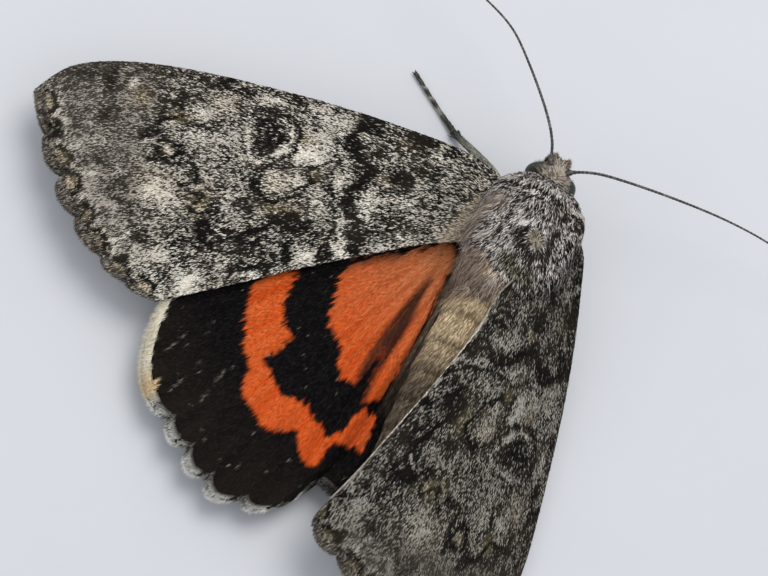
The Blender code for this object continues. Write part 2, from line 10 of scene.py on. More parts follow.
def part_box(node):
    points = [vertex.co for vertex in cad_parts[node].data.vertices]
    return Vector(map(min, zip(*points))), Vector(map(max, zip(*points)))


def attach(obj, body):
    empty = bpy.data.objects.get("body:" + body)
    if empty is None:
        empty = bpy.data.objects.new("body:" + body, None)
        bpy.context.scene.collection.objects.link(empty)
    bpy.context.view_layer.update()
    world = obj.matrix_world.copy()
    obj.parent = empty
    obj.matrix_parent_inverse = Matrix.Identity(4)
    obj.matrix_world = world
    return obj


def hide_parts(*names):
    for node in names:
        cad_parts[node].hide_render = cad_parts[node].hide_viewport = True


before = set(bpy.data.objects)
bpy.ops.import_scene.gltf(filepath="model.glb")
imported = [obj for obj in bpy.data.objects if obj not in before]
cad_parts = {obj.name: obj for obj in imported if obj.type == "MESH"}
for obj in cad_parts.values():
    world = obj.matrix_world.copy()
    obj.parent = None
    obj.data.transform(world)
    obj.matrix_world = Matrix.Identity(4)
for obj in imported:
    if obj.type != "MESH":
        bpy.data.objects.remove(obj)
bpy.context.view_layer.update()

bl_info = {
    "name": "Underwing moth",
    "version": (1, 0, 0),
    "blender": (4, 5, 0),
    "location": "3D View > Sidebar > Moth",
    "description": "Scaled wings, fur, eyes, legs and stage of an underwing moth at rest",
    "category": "Object",
}

# Lengths below are in millimetres in the moth's own frame: head towards +Y, the moth's right at +X,
# floor at z = 0, midline at x = 0.
MM = 0.001
COLLAR_FRONT = 2.3      # y of the foremost point of the collar
LEFT = -1
RIGHT = 1

FOREWING_LENGTH = 38.1
HINDWING_LENGTH = 31.6
# Places of the notches along each outer edge, from 0 at its front to 1 at its rear, and their depths
FOREWING_NOTCHES = (0.178, 0.352, 0.527, 0.712, 0.855)
FOREWING_NOTCH_DEPTHS = (0.6, 1.2, 0.85, 0.75, 0.75)
HINDWING_NOTCHES = (0.280, 0.380, 0.474, 0.571, 0.688, 0.794)
HINDWING_NOTCH_DEPTHS = (0.25, 0.9, 1.3, 1.5, 1.1, 0.8)
LAST_NOTCH_DEPTH = 0.4      # at the rear end of either edge
LOBE_ROUNDNESS = 0.55       # the smaller, the flatter the lobes and the sharper the notches
UNDERSIDE_BANDS = ((13.0, 2.0), (23.5, 3.0), (33.5, 2.2))      # s of each dark band and its half width
UNDERSIDE_REACH = 1.3       # the scales below are longer and fewer
UNDERSIDE_COVER = 0.28
FOREWING_EDGE = 0.990       # share of the wing's length that the membrane takes, before the fringe
HINDWING_EDGE = 0.980
FRINGE_BAND = 0.022         # width of the band that the fringe grows from, as a share of the wing's length
FOREWING_GRID = (220, 141)      # points of a membrane from root to edge and from front to rear
HINDWING_GRID = (170, 145)
FOREWING_FRINGE_STEPS = 420     # points of a fringe's band from front to rear
HINDWING_FRINGE_STEPS = 480
WING_VEINS = 9
VANE_THICKNESS = 0.02
VEIN_WIDTH = 0.22
FOREWING_ROOT = (-4.56, -0.53, 6.5)
FOREWING_APEX = (-40.62, -12.45, 3.8)
FOREWING_TORNUS = (-25.04, -23.2, 3.6)
HINDWING_ROOT = (-4.0, -3.2, 4.9)
MEMBRANE_GRAIN = 5200.0

HEAD_CENTRE = (0.0, 2.9, 5.8)
EYE_RADIUS = 1.08
EYE_SHAPE = (0.98, 0.92, 1.04)      # its half widths in x, y and z, as shares of the radius
EYE_OFFSET = (1.27, 0.12, 0.0)
ANTENNA_BASE = (0.85, 0.95, 1.4)
ANTENNA_STEPS = 420         # points along its length
ANTENNA_SIDES = 10
ANTENNA_RINGS = 70
ANTENNA_TAPER = 0.055       # how much thinner its end is than its base
ANTENNA_LEFT = ((-1.7, 5.4, 8.0), (-3.4, 7.6, 8.0), (-6.4, 10.8, 7.5), (-9.0, 13.1, 7.0),
                (-12.1, 14.5, 6.5), (-15.2, 15.3, 6.0), (-18.3, 15.5, 5.6))
ANTENNA_RIGHT = ((2.4, 4.6, 7.8), (4.4, 5.3, 7.8), (8.6, 6.6, 7.0), (13.3, 7.8, 6.1), (17.0, 8.4, 5.5),
                 (20.0, 8.6, 5.0), (22.6, 8.5, 4.6))

BODY_NODES = ("head", "thorax", "abdomen", "palp_left", "palp_right")
BODY_REAR, BODY_FRONT = -29.5, 6.5      # y just past the tail and the palps
HEAD_FUR_DEPTH = 0.14
REAR_OF_DARK_SCALES = ((-4.8, -6.4), (-2.9, -6.1), (-1.4, -7.0), (0.1, -8.2), (1.7, -8.6), (3.5, -7.2),
                       (4.8, -6.5))
CREST_RING = (0.7, -4.1)
CREST_RING_RADIUS = 1.2
ABDOMEN_FRONT = -9.2        # y of its first segment's front
SEGMENT_LENGTH = 18.6 / 7

LEG_FEET = {
    "foreleg_left": (-1.2, 5.2), "foreleg_right": (1.3, 5.0), "midleg_left": (-14.0, 8.2),
    "midleg_right": (9.3, -12.9), "hindleg_left": (-11.4, -21.0), "hindleg_right": (7.2, -23.4),
}
LEG_COAT_DEPTH = 0.12
BARE_SOLE = 0.2             # no scales grow lower than this
TARSUS_LENGTHS = {"foreleg": 2.75, "midleg": 6.8, "hindleg": 7.9}
PALE_BANDS = ((0.41, 0.28), (0.61, 0.18), (0.77, 0.15))     # share of the foot's length, half width

# Where the photo's camera stood: the direction back to it, its roll and distance, and what it shows where
CAMERA_AZIMUTH = -10.0
CAMERA_ELEVATION = 68.0
CAMERA_ROLL = 39.0
CAMERA_DISTANCE = 220.0
CAMERA_MM_PER_PIXEL = 0.083
CAMERA_TARGET = (0.0, -0.5, 6.0)
CAMERA_TARGET_PIXEL = (533.0, 215.0)
PHOTO_SIZE = (768, 576)
FLOOR_HALF_WIDTH = 0.6      # in metres
LIGHT_TARGET = (-8.0, -12.0, 3.0)

# Scale colours, linear
BLACK = (0.006, 0.005, 0.004)
SOOT = (0.036, 0.027, 0.018)
OLIVE = (0.16, 0.13, 0.06)
ASH = (0.57, 0.495, 0.39)
CHALK = (0.97, 0.89, 0.75)
BUFF = (0.72, 0.54, 0.34)
ORANGE = (0.76, 0.098, 0.013)
PALE_ORANGE = (0.85, 0.17, 0.038)
ROOT_ORANGE = (0.58, 0.185, 0.065)
VELVET = (0.0032, 0.0027, 0.0033)
CREAM = (0.94, 0.83, 0.64)
HONEY = (0.82, 0.58, 0.26)


def vec(*numbers):
    return np.array(numbers, float)


def unit(v):
    return v / np.maximum(np.linalg.norm(v, axis=-1, keepdims=True), 1e-12)


def smooth_step(x):
    x = np.clip(x, 0.0, 1.0)
    return x * x * (3 - 2 * x)


def blend(a, b, share):
    """Colours or numbers a turning to b, one share for each point."""
    share = np.asarray(share, float)[..., None]
    return np.asarray(a, float) * (1 - share) + np.asarray(b, float) * share


def model_shift():
    """Where the moth's own origin is in the frame, in metres."""
    low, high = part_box("thorax")
    return vec((low[0] + high[0]) / 2, high[1] - COLLAR_FRONT * MM, 0)


def to_frame(points):
    return np.asarray(points, float) * MM + model_shift()


def from_frame(points):
    return (np.asarray(points, float) - model_shift()) / MM


def curve_through(points):
    """A function of 0 to 1 that runs through the points on a Catmull-Rom curve, at an even pace."""
    pts = np.array(points, float)
    padded = np.vstack([2 * pts[0] - pts[1], pts, 2 * pts[-1] - pts[-2]])

    def at_segment(i, t):
        a, b, c, d = padded[i:i + 4]
        square = 2 * a - 5 * b + 4 * c - d
        cube = 3 * b - a - 3 * c + d
        return 0.5 * (2 * b + (c - a) * t + square * t**2 + cube * t**3)

    steps = 24
    fine = [at_segment(i, k / steps) for i in range(len(pts) - 1) for k in range(steps)]
    fine = np.array(fine + [pts[-1]])
    run = np.concatenate([[0], np.cumsum(np.linalg.norm(np.diff(fine, axis=0), axis=1))])
    run /= run[-1]

    def at(u):
        return np.stack([np.interp(u, run, fine[:, k]) for k in range(fine.shape[1])], axis=-1)

    return at


def cloud(x, y, size, seed):
    """Smooth random numbers from 0 to 1 over a plane, which change over about size millimetres."""
    side = 64
    lattice = np.random.default_rng(seed).random((side, side))
    x, y = np.asarray(x) / size, np.asarray(y) / size
    i, j = np.floor(x).astype(int), np.floor(y).astype(int)
    fx, fy = smooth_step(x - i), smooth_step(y - j)
    a = lattice[i % side, j % side]
    b = lattice[(i + 1) % side, j % side]
    c = lattice[i % side, (j + 1) % side]
    d = lattice[(i + 1) % side, (j + 1) % side]
    return (a * (1 - fx) + b * fx) * (1 - fy) + (c * (1 - fx) + d * fx) * fy


def cloud3(p, size, seed):
    """Smooth random numbers over space, from three flat ones."""
    x, y, z = p[..., 0], p[..., 1], p[..., 2]
    return (cloud(x, y, size, seed) + cloud(y, z, size, seed + 1) + cloud(z, x, size, seed + 2)) / 3


def distance_to(points, x, y, closed=False):
    """Distance of each place from a line of points."""
    pts = np.array(points, float)
    if closed:
        pts = np.vstack([pts, pts[:1]])
    best = np.full(np.shape(x), 1e9)
    for (ax, ay), (bx, by) in zip(pts, pts[1:]):
        dx, dy = bx - ax, by - ay
        t = np.clip(((x - ax) * dx + (y - ay) * dy) / (dx * dx + dy * dy + 1e-12), 0, 1)
        best = np.minimum(best, np.hypot(x - ax - t * dx, y - ay - t * dy))
    return best


def depth_inside(points, x, y):
    """Signed distance from a closed outline: positive inside, negative outside."""
    pts = np.array(points, float)
    inside = np.zeros(np.shape(x), bool)
    for (ax, ay), (bx, by) in zip(pts, np.roll(pts, -1, axis=0)):
        crosses = (ay > y) != (by > y)
        at = ax + (y - ay) * (bx - ax) / (by - ay if by != ay else 1e-12)
        inside ^= crosses & (x < at)
    away = distance_to(points, x, y, closed=True)
    return np.where(inside, away, -away)


def stroke(points, x, y, width):
    return np.exp(-(distance_to(points, x, y) / width) ** 2)


def spot(x, y, at_x, at_y, size_x, size_y):
    return np.exp(-((x - at_x) / size_x) ** 2 - ((y - at_y) / size_y) ** 2)


def drawn(lines, patches, x, y):
    """The strongest of some lines and patches at each place."""
    best = np.zeros(np.shape(x))
    for points, width, strength in lines:
        best = np.maximum(best, strength * stroke(points, x, y, width))
    for at_x, at_y, size_x, size_y, strength in patches:
        best = np.maximum(best, strength * spot(x, y, at_x, at_y, size_x, size_y))
    return best


def streaks(away, angle, fineness, stretch, seed):
    """Smooth random numbers that change quickly across the rays from a point and slowly along them."""
    return cloud(angle * fineness, away * stretch, 0.8, seed)


def wander(x, y, seed):
    """Small shifts in millimetres, coarse and fine, that keep drawn marks from being smooth."""
    return 0.5 * (cloud(x, y, 0.7, seed) - 0.5) + 0.25 * (cloud(x, y, 0.3, seed + 1) - 0.5)


class Forewing:
    """Markings of the forewing. s runs from the root to the apex and t square to it, to the rear, in mm."""

    outer_ground, outer_fleck = (0.066, 0.054, 0.043), (0.36, 0.32, 0.27)
    root_hair, root_hair_tips = (0.19, 0.145, 0.10), (0.58, 0.48, 0.36)
    # points, width and strength of each line
    dark_lines = (
        (((10.7, -4.3), (11.0, -2.9), (11.7, -1.5), (10.9, -0.1), (9.5, 0.9), (10.2, 2.2), (11.3, 3.2),
          (11.1, 4.3), (9.9, 5.2), (10.5, 6.6), (9.8, 7.9)), 0.46, 1.0),
        (((3.2, -3.0), (3.8, -1.8), (3.0, -0.6), (4.1, 0.6), (3.4, 1.9), (4.2, 3.2), (3.8, 5.2)), 0.26, 0.6),
        (((8.8, -3.4), (9.1, -2.2), (8.5, -0.8), (8.2, 0.6)), 0.24, 0.5),
        (((8.0, 2.2), (7.4, 3.4), (8.2, 4.6), (7.6, 6.2)), 0.22, 0.45),
        (((12.9, -1.0), (12.5, 0.6), (13.2, 2.2), (12.6, 3.6), (12.2, 4.8), (11.9, 6.0), (12.4, 7.4),
          (12.7, 9.3)), 0.24, 0.7),
        (((22.4, -4.6), (24.3, -3.1), (25.9, -2.2), (25.5, -0.9), (27.0, -0.1), (28.7, 1.6), (25.4, 2.0),
          (25.0, 2.8), (27.7, 3.6), (23.9, 3.5), (23.5, 4.6), (24.9, 5.3), (22.9, 5.8), (23.8, 7.1),
          (21.7, 7.3), (22.7, 8.5), (20.3, 8.9), (17.6, 9.0), (16.9, 10.4), (19.2, 10.9), (19.7, 12.4)),
         0.25, 1.0),
        (((20.6, -4.2), (21.3, -2.6), (20.8, -1.1), (20.6, 0.6), (20.0, 1.6)), 0.22, 0.5),
        (((16.3, -1.9), (17.2, -2.4), (18.4, -2.1), (19.2, -1.2), (19.3, 0.2), (18.7, 1.3), (17.5, 1.6),
          (16.5, 1.0), (16.0, 0.0), (15.9, -1.0), (16.3, -1.9)), 0.22, 1.0),
        (((17.4, -1.5), (17.2, -0.6), (17.5, 0.3)), 0.30, 0.95),
        (((18.5, -1.9), (18.3, -0.9), (18.6, 0.2), (18.2, 1.1)), 0.30, 0.9),
        (((13.5, 1.3), (14.7, 1.75), (16.1, 1.8), (17.6, 2.1), (19.4, 2.8)), 0.15, 1.0),
        (((14.1, 2.5), (14.7, 3.0), (15.5, 3.7), (16.4, 4.4)), 0.15, 0.9),
        (((14.9, 1.8), (14.6, 2.9)), 0.12, 0.8),
        (((14.5, 2.3), (14.6, 3.3), (15.2, 4.2), (16.3, 4.8), (17.4, 5.2), (18.4, 4.6), (18.9, 3.6),
          (18.6, 2.8)), 0.2, 0.85),
        (((13.9, 6.1), (15.2, 6.4), (16.4, 6.8), (17.5, 7.5), (19.0, 8.3), (20.6, 9.2), (22.3, 9.7),
          (23.9, 9.8)), 0.3, 1.0),
        (((17.3, 8.2), (18.4, 9.2), (20.2, 9.9), (22.6, 10.4)), 0.22, 0.8),
        (((29.2, -4.4), (30.5, -3.2), (31.5, -1.6), (30.9, 0.1), (32.2, 1.0), (31.0, 2.4), (32.0, 4.2),
          (29.9, 5.3), (30.7, 6.9), (28.5, 7.8), (28.2, 9.2), (26.1, 10.2), (26.2, 11.7), (24.2, 13.2)),
         0.3, 0.55),
    )
    pale_lines = (
        (((26.9, 1.75), (28.6, 1.95)), 0.12, 1.0),
        (((24.0, 3.75), (25.2, 3.3), (26.4, 3.6), (27.6, 4.05)), 0.12, 0.9),
        (((17.6, -1.9), (16.9, -1.3), (16.4, -0.3), (16.8, 0.4), (17.5, 1.0), (18.3, 1.5), (19.2, 2.0)),
         0.18, 1.0),
        (((27.9, 9.9), (29.0, 10.7), (30.0, 11.4)), 0.14, 0.9),
        (((32.0, 5.5), (32.9, 5.9), (33.6, 6.0)), 0.2, 0.8),
        (((30.4, -4.1), (31.8, -2.9), (32.5, -1.5), (32.1, 0.2), (33.2, 1.3), (32.2, 2.6), (33.1, 4.0),
          (31.1, 5.6), (31.7, 7.2), (29.6, 8.1), (29.4, 9.5), (27.3, 10.6), (27.3, 12.0), (25.4, 13.3)),
         0.26, 0.35),
        (((19.9, -2.4), (20.2, -1.3), (20.3, 0.3), (19.6, 1.9)), 0.2, 0.45),
        (((12.3, -3.2), (12.6, -1.9), (11.7, 0.4), (11.5, 1.6), (12.3, 2.9), (11.4, 4.9), (11.4, 6.4),
          (10.7, 8.2)), 0.26, 0.6),
    )
    # s, t, half lengths in both and strength of each patch
    dark_patches = (
        (5.9, -2.65, 1.9, 0.85, 1.05), (10.4, -3.1, 1.2, 0.9, 1.05), (2.9, -2.25, 0.7, 0.42, 1.0),
        (7.2, 1.1, 1.2, 0.8, 1.2), (4.4, 0.1, 2.2, 1.1, 0.55), (10.2, 1.6, 0.7, 1.4, 0.9),
        (5.3, 0.6, 0.8, 0.4, 0.6), (9.5, 1.0, 0.8, 0.8, 1.0), (11.3, 3.9, 0.9, 0.5, 1.0),
        (9.9, 6.9, 0.8, 1.1, 1.3), (11.5, -1.0, 0.7, 1.1, 1.1), (15.6, 6.6, 1.8, 0.75, 1.6),
        (12.2, 8.3, 0.6, 1.0, 1.3), (15.3, 8.9, 0.6, 1.1, 1.1), (16.6, -3.9, 0.7, 0.4, 0.9),
        (16.9, 10.4, 0.75, 0.55, 1.0), (18.9, 3.7, 0.55, 0.8, 0.8), (16.3, 0.4, 0.35, 0.5, 0.9),
        (20.7, -3.7, 0.9, 0.6, 0.9), (18.6, -2.55, 1.8, 0.35, 0.7), (19.1, 1.2, 0.9, 0.35, 0.6),
        (19.0, 6.0, 1.1, 0.9, 0.5), (22.0, 6.7, 0.8, 0.9, 0.6), (19.6, 9.2, 1.1, 0.8, 0.65),
        (26.0, -2.1, 0.7, 1.0, 0.85), (27.5, -0.6, 0.7, 1.0, 0.7), (27.7, 1.1, 0.8, 0.4, 1.0),
        (25.5, 2.4, 0.4, 0.5, 1.0), (27.3, 2.8, 0.5, 0.5, 1.0), (23.9, 4.0, 0.4, 0.6, 1.0),
        (22.3, 8.6, 0.75, 1.0, 1.3), (20.4, 8.2, 1.0, 0.35, 1.0), (19.5, 8.9, 0.8, 0.6, 0.8),
        (27.2, 10.0, 0.8, 0.75, 0.85),
        (29.1, -0.8, 0.5, 0.5, 0.8), (31.9, -2.6, 0.8, 1.4, 0.95), (34.2, -2.7, 2.0, 0.7, 0.6),
        (31.7, 0.3, 0.8, 0.8, 0.8), (27.5, -4.1, 3.0, 0.4, 0.6), (29.8, 3.4, 0.8, 0.8, 0.35),
        (28.9, 6.6, 0.9, 0.8, 0.35),
        (23.2, 10.9, 0.9, 0.5, 0.4), (24.9, 12.6, 0.5, 0.5, 0.3), (24.0, -3.7, 1.6, 0.35, 0.5),
        (13.1, 3.2, 0.4, 0.9, 0.45), (8.9, 6.6, 0.7, 0.5, 0.4), (5.6, 4.6, 0.6, 0.9, 0.3),
    )
    pale_patches = (
        (15.0, 0.6, 1.5, 0.8, 1.25), (13.9, -0.5, 1.5, 0.6, 0.8), (14.1, -2.9, 1.7, 0.55, 0.75),
        (18.4, -3.6, 1.1, 0.3, 0.7), (8.9, -3.2, 0.5, 0.4, 0.6), (4.4, -1.5, 0.8, 0.35, 0.8),
        (9.5, 3.9, 0.85, 1.0, 1.0), (6.4, 5.9, 0.45, 0.35, 1.0), (11.0, 8.0, 0.9, 0.7, 1.1),
        (3.2, -0.4, 0.4, 0.7, 0.7), (13.8, 9.0, 0.8, 0.8, 0.9),
        (11.5, 5.9, 0.4, 0.9, 0.7), (12.6, 2.4, 1.0, 0.5, 0.6), (13.7, 4.4, 0.8, 1.2, 0.5),
        (17.7, 11.4, 0.6, 0.6, 1.0), (15.6, 3.0, 0.7, 0.5, 0.8),
        (17.4, 3.5, 0.9, 0.8, 0.9), (21.0, 8.3, 0.8, 0.45, 0.95), (20.9, 5.4, 0.7, 0.6, 0.55),
        (22.9, 12.9, 1.0, 1.1, 1.25), (26.7, 6.0, 1.2, 1.0, 1.2), (25.6, 6.8, 1.2, 0.7, 0.5),
        (26.4, 2.5, 0.4, 0.45, 1.1), (24.2, -1.3, 0.8, 0.6, 0.6), (24.7, 0.8, 0.7, 0.4, 0.7),
        (22.6, -2.2, 1.2, 0.8, 0.4), (22.9, 0.8, 1.5, 0.7, 0.45), (30.1, -2.5, 0.4, 0.6, 0.8),
        (31.5, 2.5, 0.7, 0.9, 0.5), (33.6, 3.6, 0.9, 0.6, 0.6), (29.9, 5.0, 0.6, 0.4, 0.6),
        (6.4, 3.0, 1.3, 1.0, 0.35), (7.2, 6.9, 0.9, 0.4, 0.5), (20.4, 11.2, 0.7, 0.7, 0.45),
        (23.1, 6.8, 0.4, 0.4, 0.7), (18.0, 6.3, 0.8, 0.5, 0.35), (25.6, 11.4, 1.2, 0.8, 0.4),
    )
    buff_patches = (
        (16.9, 3.4, 2.1, 1.4, 0.25), (14.1, 2.2, 0.6, 0.45, 0.8), (17.3, 3.3, 1.0, 0.8, 0.5),
        (15.3, -0.7, 1.0, 0.4, 0.7), (25.9, -0.5, 0.9, 0.5, 0.9),
        (29.2, -1.5, 0.8, 0.9, 0.8), (26.6, 5.7, 2.0, 1.6, 0.3), (23.1, 6.3, 0.9, 1.2, 0.9),
        (16.6, 5.6, 1.5, 0.7, 0.7), (22.5, -2.4, 1.6, 0.8, 0.35), (8.4, 1.3, 0.5, 0.4, 1.0),
        (26.4, 2.6, 0.6, 0.6, 0.6), (6.9, -2.2, 0.7, 0.4, 0.6),
    )
    margin_spots = ((36.9, 0.5), (36.2, 2.6), (34.9, 4.9), (33.7, 6.9), (32.2, 9.3), (30.8, 11.4),
                    (28.5, 13.1), (26.3, 14.3))
    # s, and the share of pale flecks there between the marks
    level = ((-2, 0.42), (4, 0.36), (8, 0.34), (10, 0.30), (13, 0.44), (18, 0.36), (21, 0.40), (25, 0.42),
             (27, 0.40), (30, 0.44), (33, 0.40), (37, 0.40), (39, 0.4))

    def paint(self, s, t, r, folded_shade=0.0):
        """Ground colour, fleck colour and share of flecks at each place. The folded wing is painted darker,
        as painted shade.
        """
        ws, wt = s + wander(s, t, 11), t + wander(s, t, 13)
        dark = drawn(self.dark_lines, self.dark_patches, ws, wt)
        pale = drawn(self.pale_lines, self.pale_patches, ws, wt)
        buff = drawn((), self.buff_patches, s, t)
        dark, pale, buff = self.edge_marks(ws, wt, (1 - r) * FOREWING_LENGTH, dark, pale, buff)
        dark = smooth_step(1.25 * dark - 0.1)
        outer = smooth_step((s - 25) / 6)
        shore = smooth_step((s - 18) / 4) * smooth_step((-3.1 - t) / 0.8)
        mottle = 0.5 * cloud(s * 0.6, t, 0.8, 15) + 0.5 * cloud(s * 0.45, t, 0.34, 16)
        level = np.interp(s, *np.transpose(self.level))
        share = 0.84 * level + 0.7 * (mottle - 0.5) + 0.5 * pale - 0.12 * shore
        share = np.clip(share, 0.04, 1.0) * (1 - 0.96 * dark)
        brown = np.clip(0.9 * cloud(s * 0.6, t, 1.2, 18) - 0.25 + 0.35 * outer, 0, 1)
        ground = blend(BLACK, SOOT, brown)
        ground = blend(ground, self.outer_ground, 0.85 * outer * (1 - dark))
        ground = blend(ground, OLIVE, np.clip(buff * 0.7 * (1 - dark), 0, 1))
        fleck = blend(ASH, CHALK, np.clip(0.45 + 0.7 * pale - 0.5 * outer * (1 - pale), 0, 1))
        fleck = blend(fleck, self.outer_fleck, 0.62 * outer * np.clip(1 - 1.1 * pale, 0, 1))
        fleck = blend(fleck, BUFF, np.clip(buff * 0.75, 0, 0.85))
        # soft buff hair at the rear of the root
        root = smooth_step(0.62 * t - ws + 0.5) * smooth_step(t - 0.5) * (1 - folded_shade)
        ground = blend(ground, self.root_hair, root)
        fleck = blend(fleck, self.root_hair_tips, root)
        share = share * (1 - root) + 0.5 * root
        # the folded wing's flecks are painted darker, as painted shade
        return ground, fleck * (1 - 0.5 * folded_shade), share * (1 - 0.1 * folded_shade)

    def edge_marks(self, ws, wt, to_margin, dark, pale, buff):
        """Adds the buff spots with dark and pale crescents, and the dark line, along the outer edge."""
        for a, b in self.margin_spots:
            away = np.hypot(ws - a, wt - b)
            inward = smooth_step(1.0 - (ws - a) - 0.4 * (wt - b) * (b > 6))
            dark = np.maximum(dark, inward * np.exp(-((away - 0.95) / 0.26) ** 2))
            pale = np.maximum(pale, 0.55 * inward * np.exp(-((away - 1.5) / 0.22) ** 2))
            buff = np.maximum(buff, 0.9 * np.exp(-(away / 0.75) ** 2))
            pale = np.maximum(pale, 0.35 * np.exp(-(away / 0.6) ** 2))
        line = 0.7 * np.exp(-((to_margin - 0.85) / 0.15) ** 2)
        buff = np.maximum(buff, 0.25 * np.exp(-(to_margin / 0.7) ** 2))
        return np.maximum(dark, line), pale * (1 - line), buff


class Hindwing:
    """Markings of the hindwing. a runs sideways from the root and b to the rear, in mm."""

    # its front edge stops short of the forewing's rear edge, so the thin black strip left there is partly
    # painted shadow of the forewing
    basal_orange = (
        (0.9, 2.5), (4.0, 5.5), (6.8, 7.6), (7.4, 9.2), (6.9, 11.0), (6.7, 13.1), (5.6, 13.9), (4.6, 14.6),
        (4.3, 16.0), (3.5, 16.8), (2.2, 16.8), (1.95, 14.6), (1.75, 12.0), (1.3, 8.5))
    inner_orange = (
        (0.3, 3.0), (0.75, 6.0), (0.95, 9.0), (1.15, 12.5), (1.25, 15.5), (0.95, 17.6), (0.2, 17.2),
        (-0.3, 16.2), (-0.6, 14.0), (-0.5, 12.0), (-0.3, 9.0), (-0.4, 3.0))
    outer_orange = (
        (10.6, 11.4), (10.4, 14.2), (9.6, 15.3), (8.5, 16.1), (8.9, 17.5), (9.5, 18.6), (8.6, 19.6),
        (7.6, 20.3), (6.3, 20.6), (5.2, 20.2), (4.3, 20.6), (3.4, 21.2), (2.2, 21.6), (1.4, 21.0),
        (1.0, 19.5), (0.6, 18.4), (-0.2, 18.1), (-0.7, 18.4), (-0.8, 21.2), (0.5, 21.5), (1.5, 21.9),
        (1.8, 22.6), (1.8, 24.0), (2.5, 24.6), (3.2, 24.1), (3.8, 23.2), (4.4, 22.6), (5.1, 22.8),
        (6.0, 23.3), (6.8, 23.6), (7.7, 23.3), (8.7, 22.8), (9.4, 22.0), (10.0, 21.1), (10.3, 20.0),
        (10.9, 19.1), (11.5, 18.3), (12.0, 17.4), (12.6, 15.9), (13.2, 14.3), (12.2, 11.4))
    # the crease of the fold, along which painted shade runs
    crease_shade = ((0.6, 3.0), (1.05, 8.0), (1.45, 12.0), (1.65, 15.0), (1.5, 17.4))
    pale_veins = (((16.0, 20.0), (17.1, 23.2)), ((13.9, 21.5), (14.9, 24.8)), ((11.9, 21.0), (12.4, 24.3)))

    black_at_margin = (0.017, 0.012, 0.008)
    inner_ground, inner_ground_far = (0.10, 0.072, 0.048), (0.022, 0.015, 0.010)
    inner_fleck, inner_fleck_far = (0.36, 0.27, 0.18), (0.085, 0.062, 0.042)
    # brown black for the orange's own darker streaks and for its painted shade
    shaded_orange, shaded_fleck = (0.055, 0.022, 0.014), (0.10, 0.038, 0.02)
    black_fleck, root_fleck, vein_fleck = (0.030, 0.025, 0.021), (0.70, 0.29, 0.12), (0.34, 0.29, 0.22)
    cream_fleck = (1.0, 0.92, 0.76)

    def paint(self, a, b, r, v):
        """Ground colour, fleck colour, share of flecks and length of scales at each place."""
        away, angle = np.hypot(a, b), np.arctan2(b, a)
        grain = streaks(away, angle, 90, 0.3, 24)
        coarse = streaks(away, angle, 30, 0.25, 27)
        streak = streaks(away, angle, 60, 0.12, 28)
        orange, crease_shade, forewing_shadow = self.orange_parts(a, b, grain)
        near_root = smooth_step(1 - away / 17)
        inner = smooth_step((-0.35 - a) / 0.4) * smooth_step((18.5 - b) / 2)
        far = smooth_step((b - 7) / 9)
        black = blend(VELVET, self.black_at_margin, smooth_step((away - 22) / 8) * (0.3 + 0.9 * coarse))
        black = blend(black, blend(self.inner_ground, self.inner_ground_far, far), inner)
        ground = blend(black, blend(ORANGE, ROOT_ORANGE, near_root), orange)
        # darker streaks of the orange's own tone, plus the painted shade in the crease and the forewing's
        # painted shadow
        shade = 1.1 * near_root * (coarse - 0.40) + crease_shade + 0.5 * (streak - 0.62) + 0.75 * forewing_shadow
        ground = blend(ground, self.shaded_orange, np.clip(shade, 0, 0.97) * orange)
        fleck = blend(self.black_fleck, blend(PALE_ORANGE, self.root_fleck, near_root), orange)
        fleck = blend(fleck, self.shaded_fleck, np.clip(crease_shade + 0.8 * forewing_shadow, 0, 1) * orange)
        fleck = blend(fleck, blend(self.inner_fleck, self.inner_fleck_far, far), inner)
        share = 0.08 * (1 - orange) + (0.45 - 0.6 * crease_shade + 1.1 * (streak - 0.5)) * orange
        share = np.maximum(share, 0.45 * inner)
        for points in self.pale_veins:
            line = stroke(points, a, b, 0.10) * smooth_step(2.2 * grain - 0.3)
            fleck = blend(fleck, self.vein_fleck, line)
            share = np.maximum(share, 0.6 * line)
        dust = (cloud(a, b, 0.14, 25) > 0.95) & (orange < 0.5) & (inner < 0.2)
        fleck = np.where(dust[..., None], ASH, fleck)
        share = np.where(dust, 0.35, share)
        cream, honey = self.cream_edge((1 - r) * HINDWING_LENGTH, v, grain)
        ground = blend(ground, blend(CREAM, HONEY, honey), cream)
        fleck = blend(fleck, blend(self.cream_fleck, HONEY, 0.8 * honey), cream)
        share = np.clip(np.maximum(share, 0.4 * cream), 0.02, 0.95)
        return ground, fleck, share, 1 + 0.55 * orange + 0.8 * inner

    def orange_parts(self, a, b, grain):
        """Where the wing is orange, the painted shade in the crease of its fold, and the forewing's painted
        shadow on it.
        """
        ragged = 0.5 * (grain - 0.5) + 0.4 * (cloud(a, b, 0.3, 22) - 0.5)
        parts = (self.basal_orange, self.outer_orange, self.inner_orange)
        depth = np.max([depth_inside(part, a, b) for part in parts], axis=0)
        orange = smooth_step((depth + ragged) / 0.25 + 0.5)
        to_crease = distance_to(self.crease_shade, a, b)
        between = smooth_step((0.6 - to_crease) / 0.2) * smooth_step((14.5 - b) / 2)
        width = 0.20 + 0.62 * smooth_step((b - 4) / 9)
        # painted shade in the crease, wider towards the rear
        crease_shade = smooth_step((b - 3) / 5) * np.exp(-(to_crease / width) ** 4)
        # the forewing's painted shadow on the orange along its rear edge
        forewing_shadow = 0.6 * stroke(((4.1, 5.7), (6.9, 7.8), (7.8, 9.0)), a, b, 0.5)
        return np.maximum(orange, between), np.clip(crease_shade * (0.9 + 0.3 * grain), 0, 1), forewing_shadow

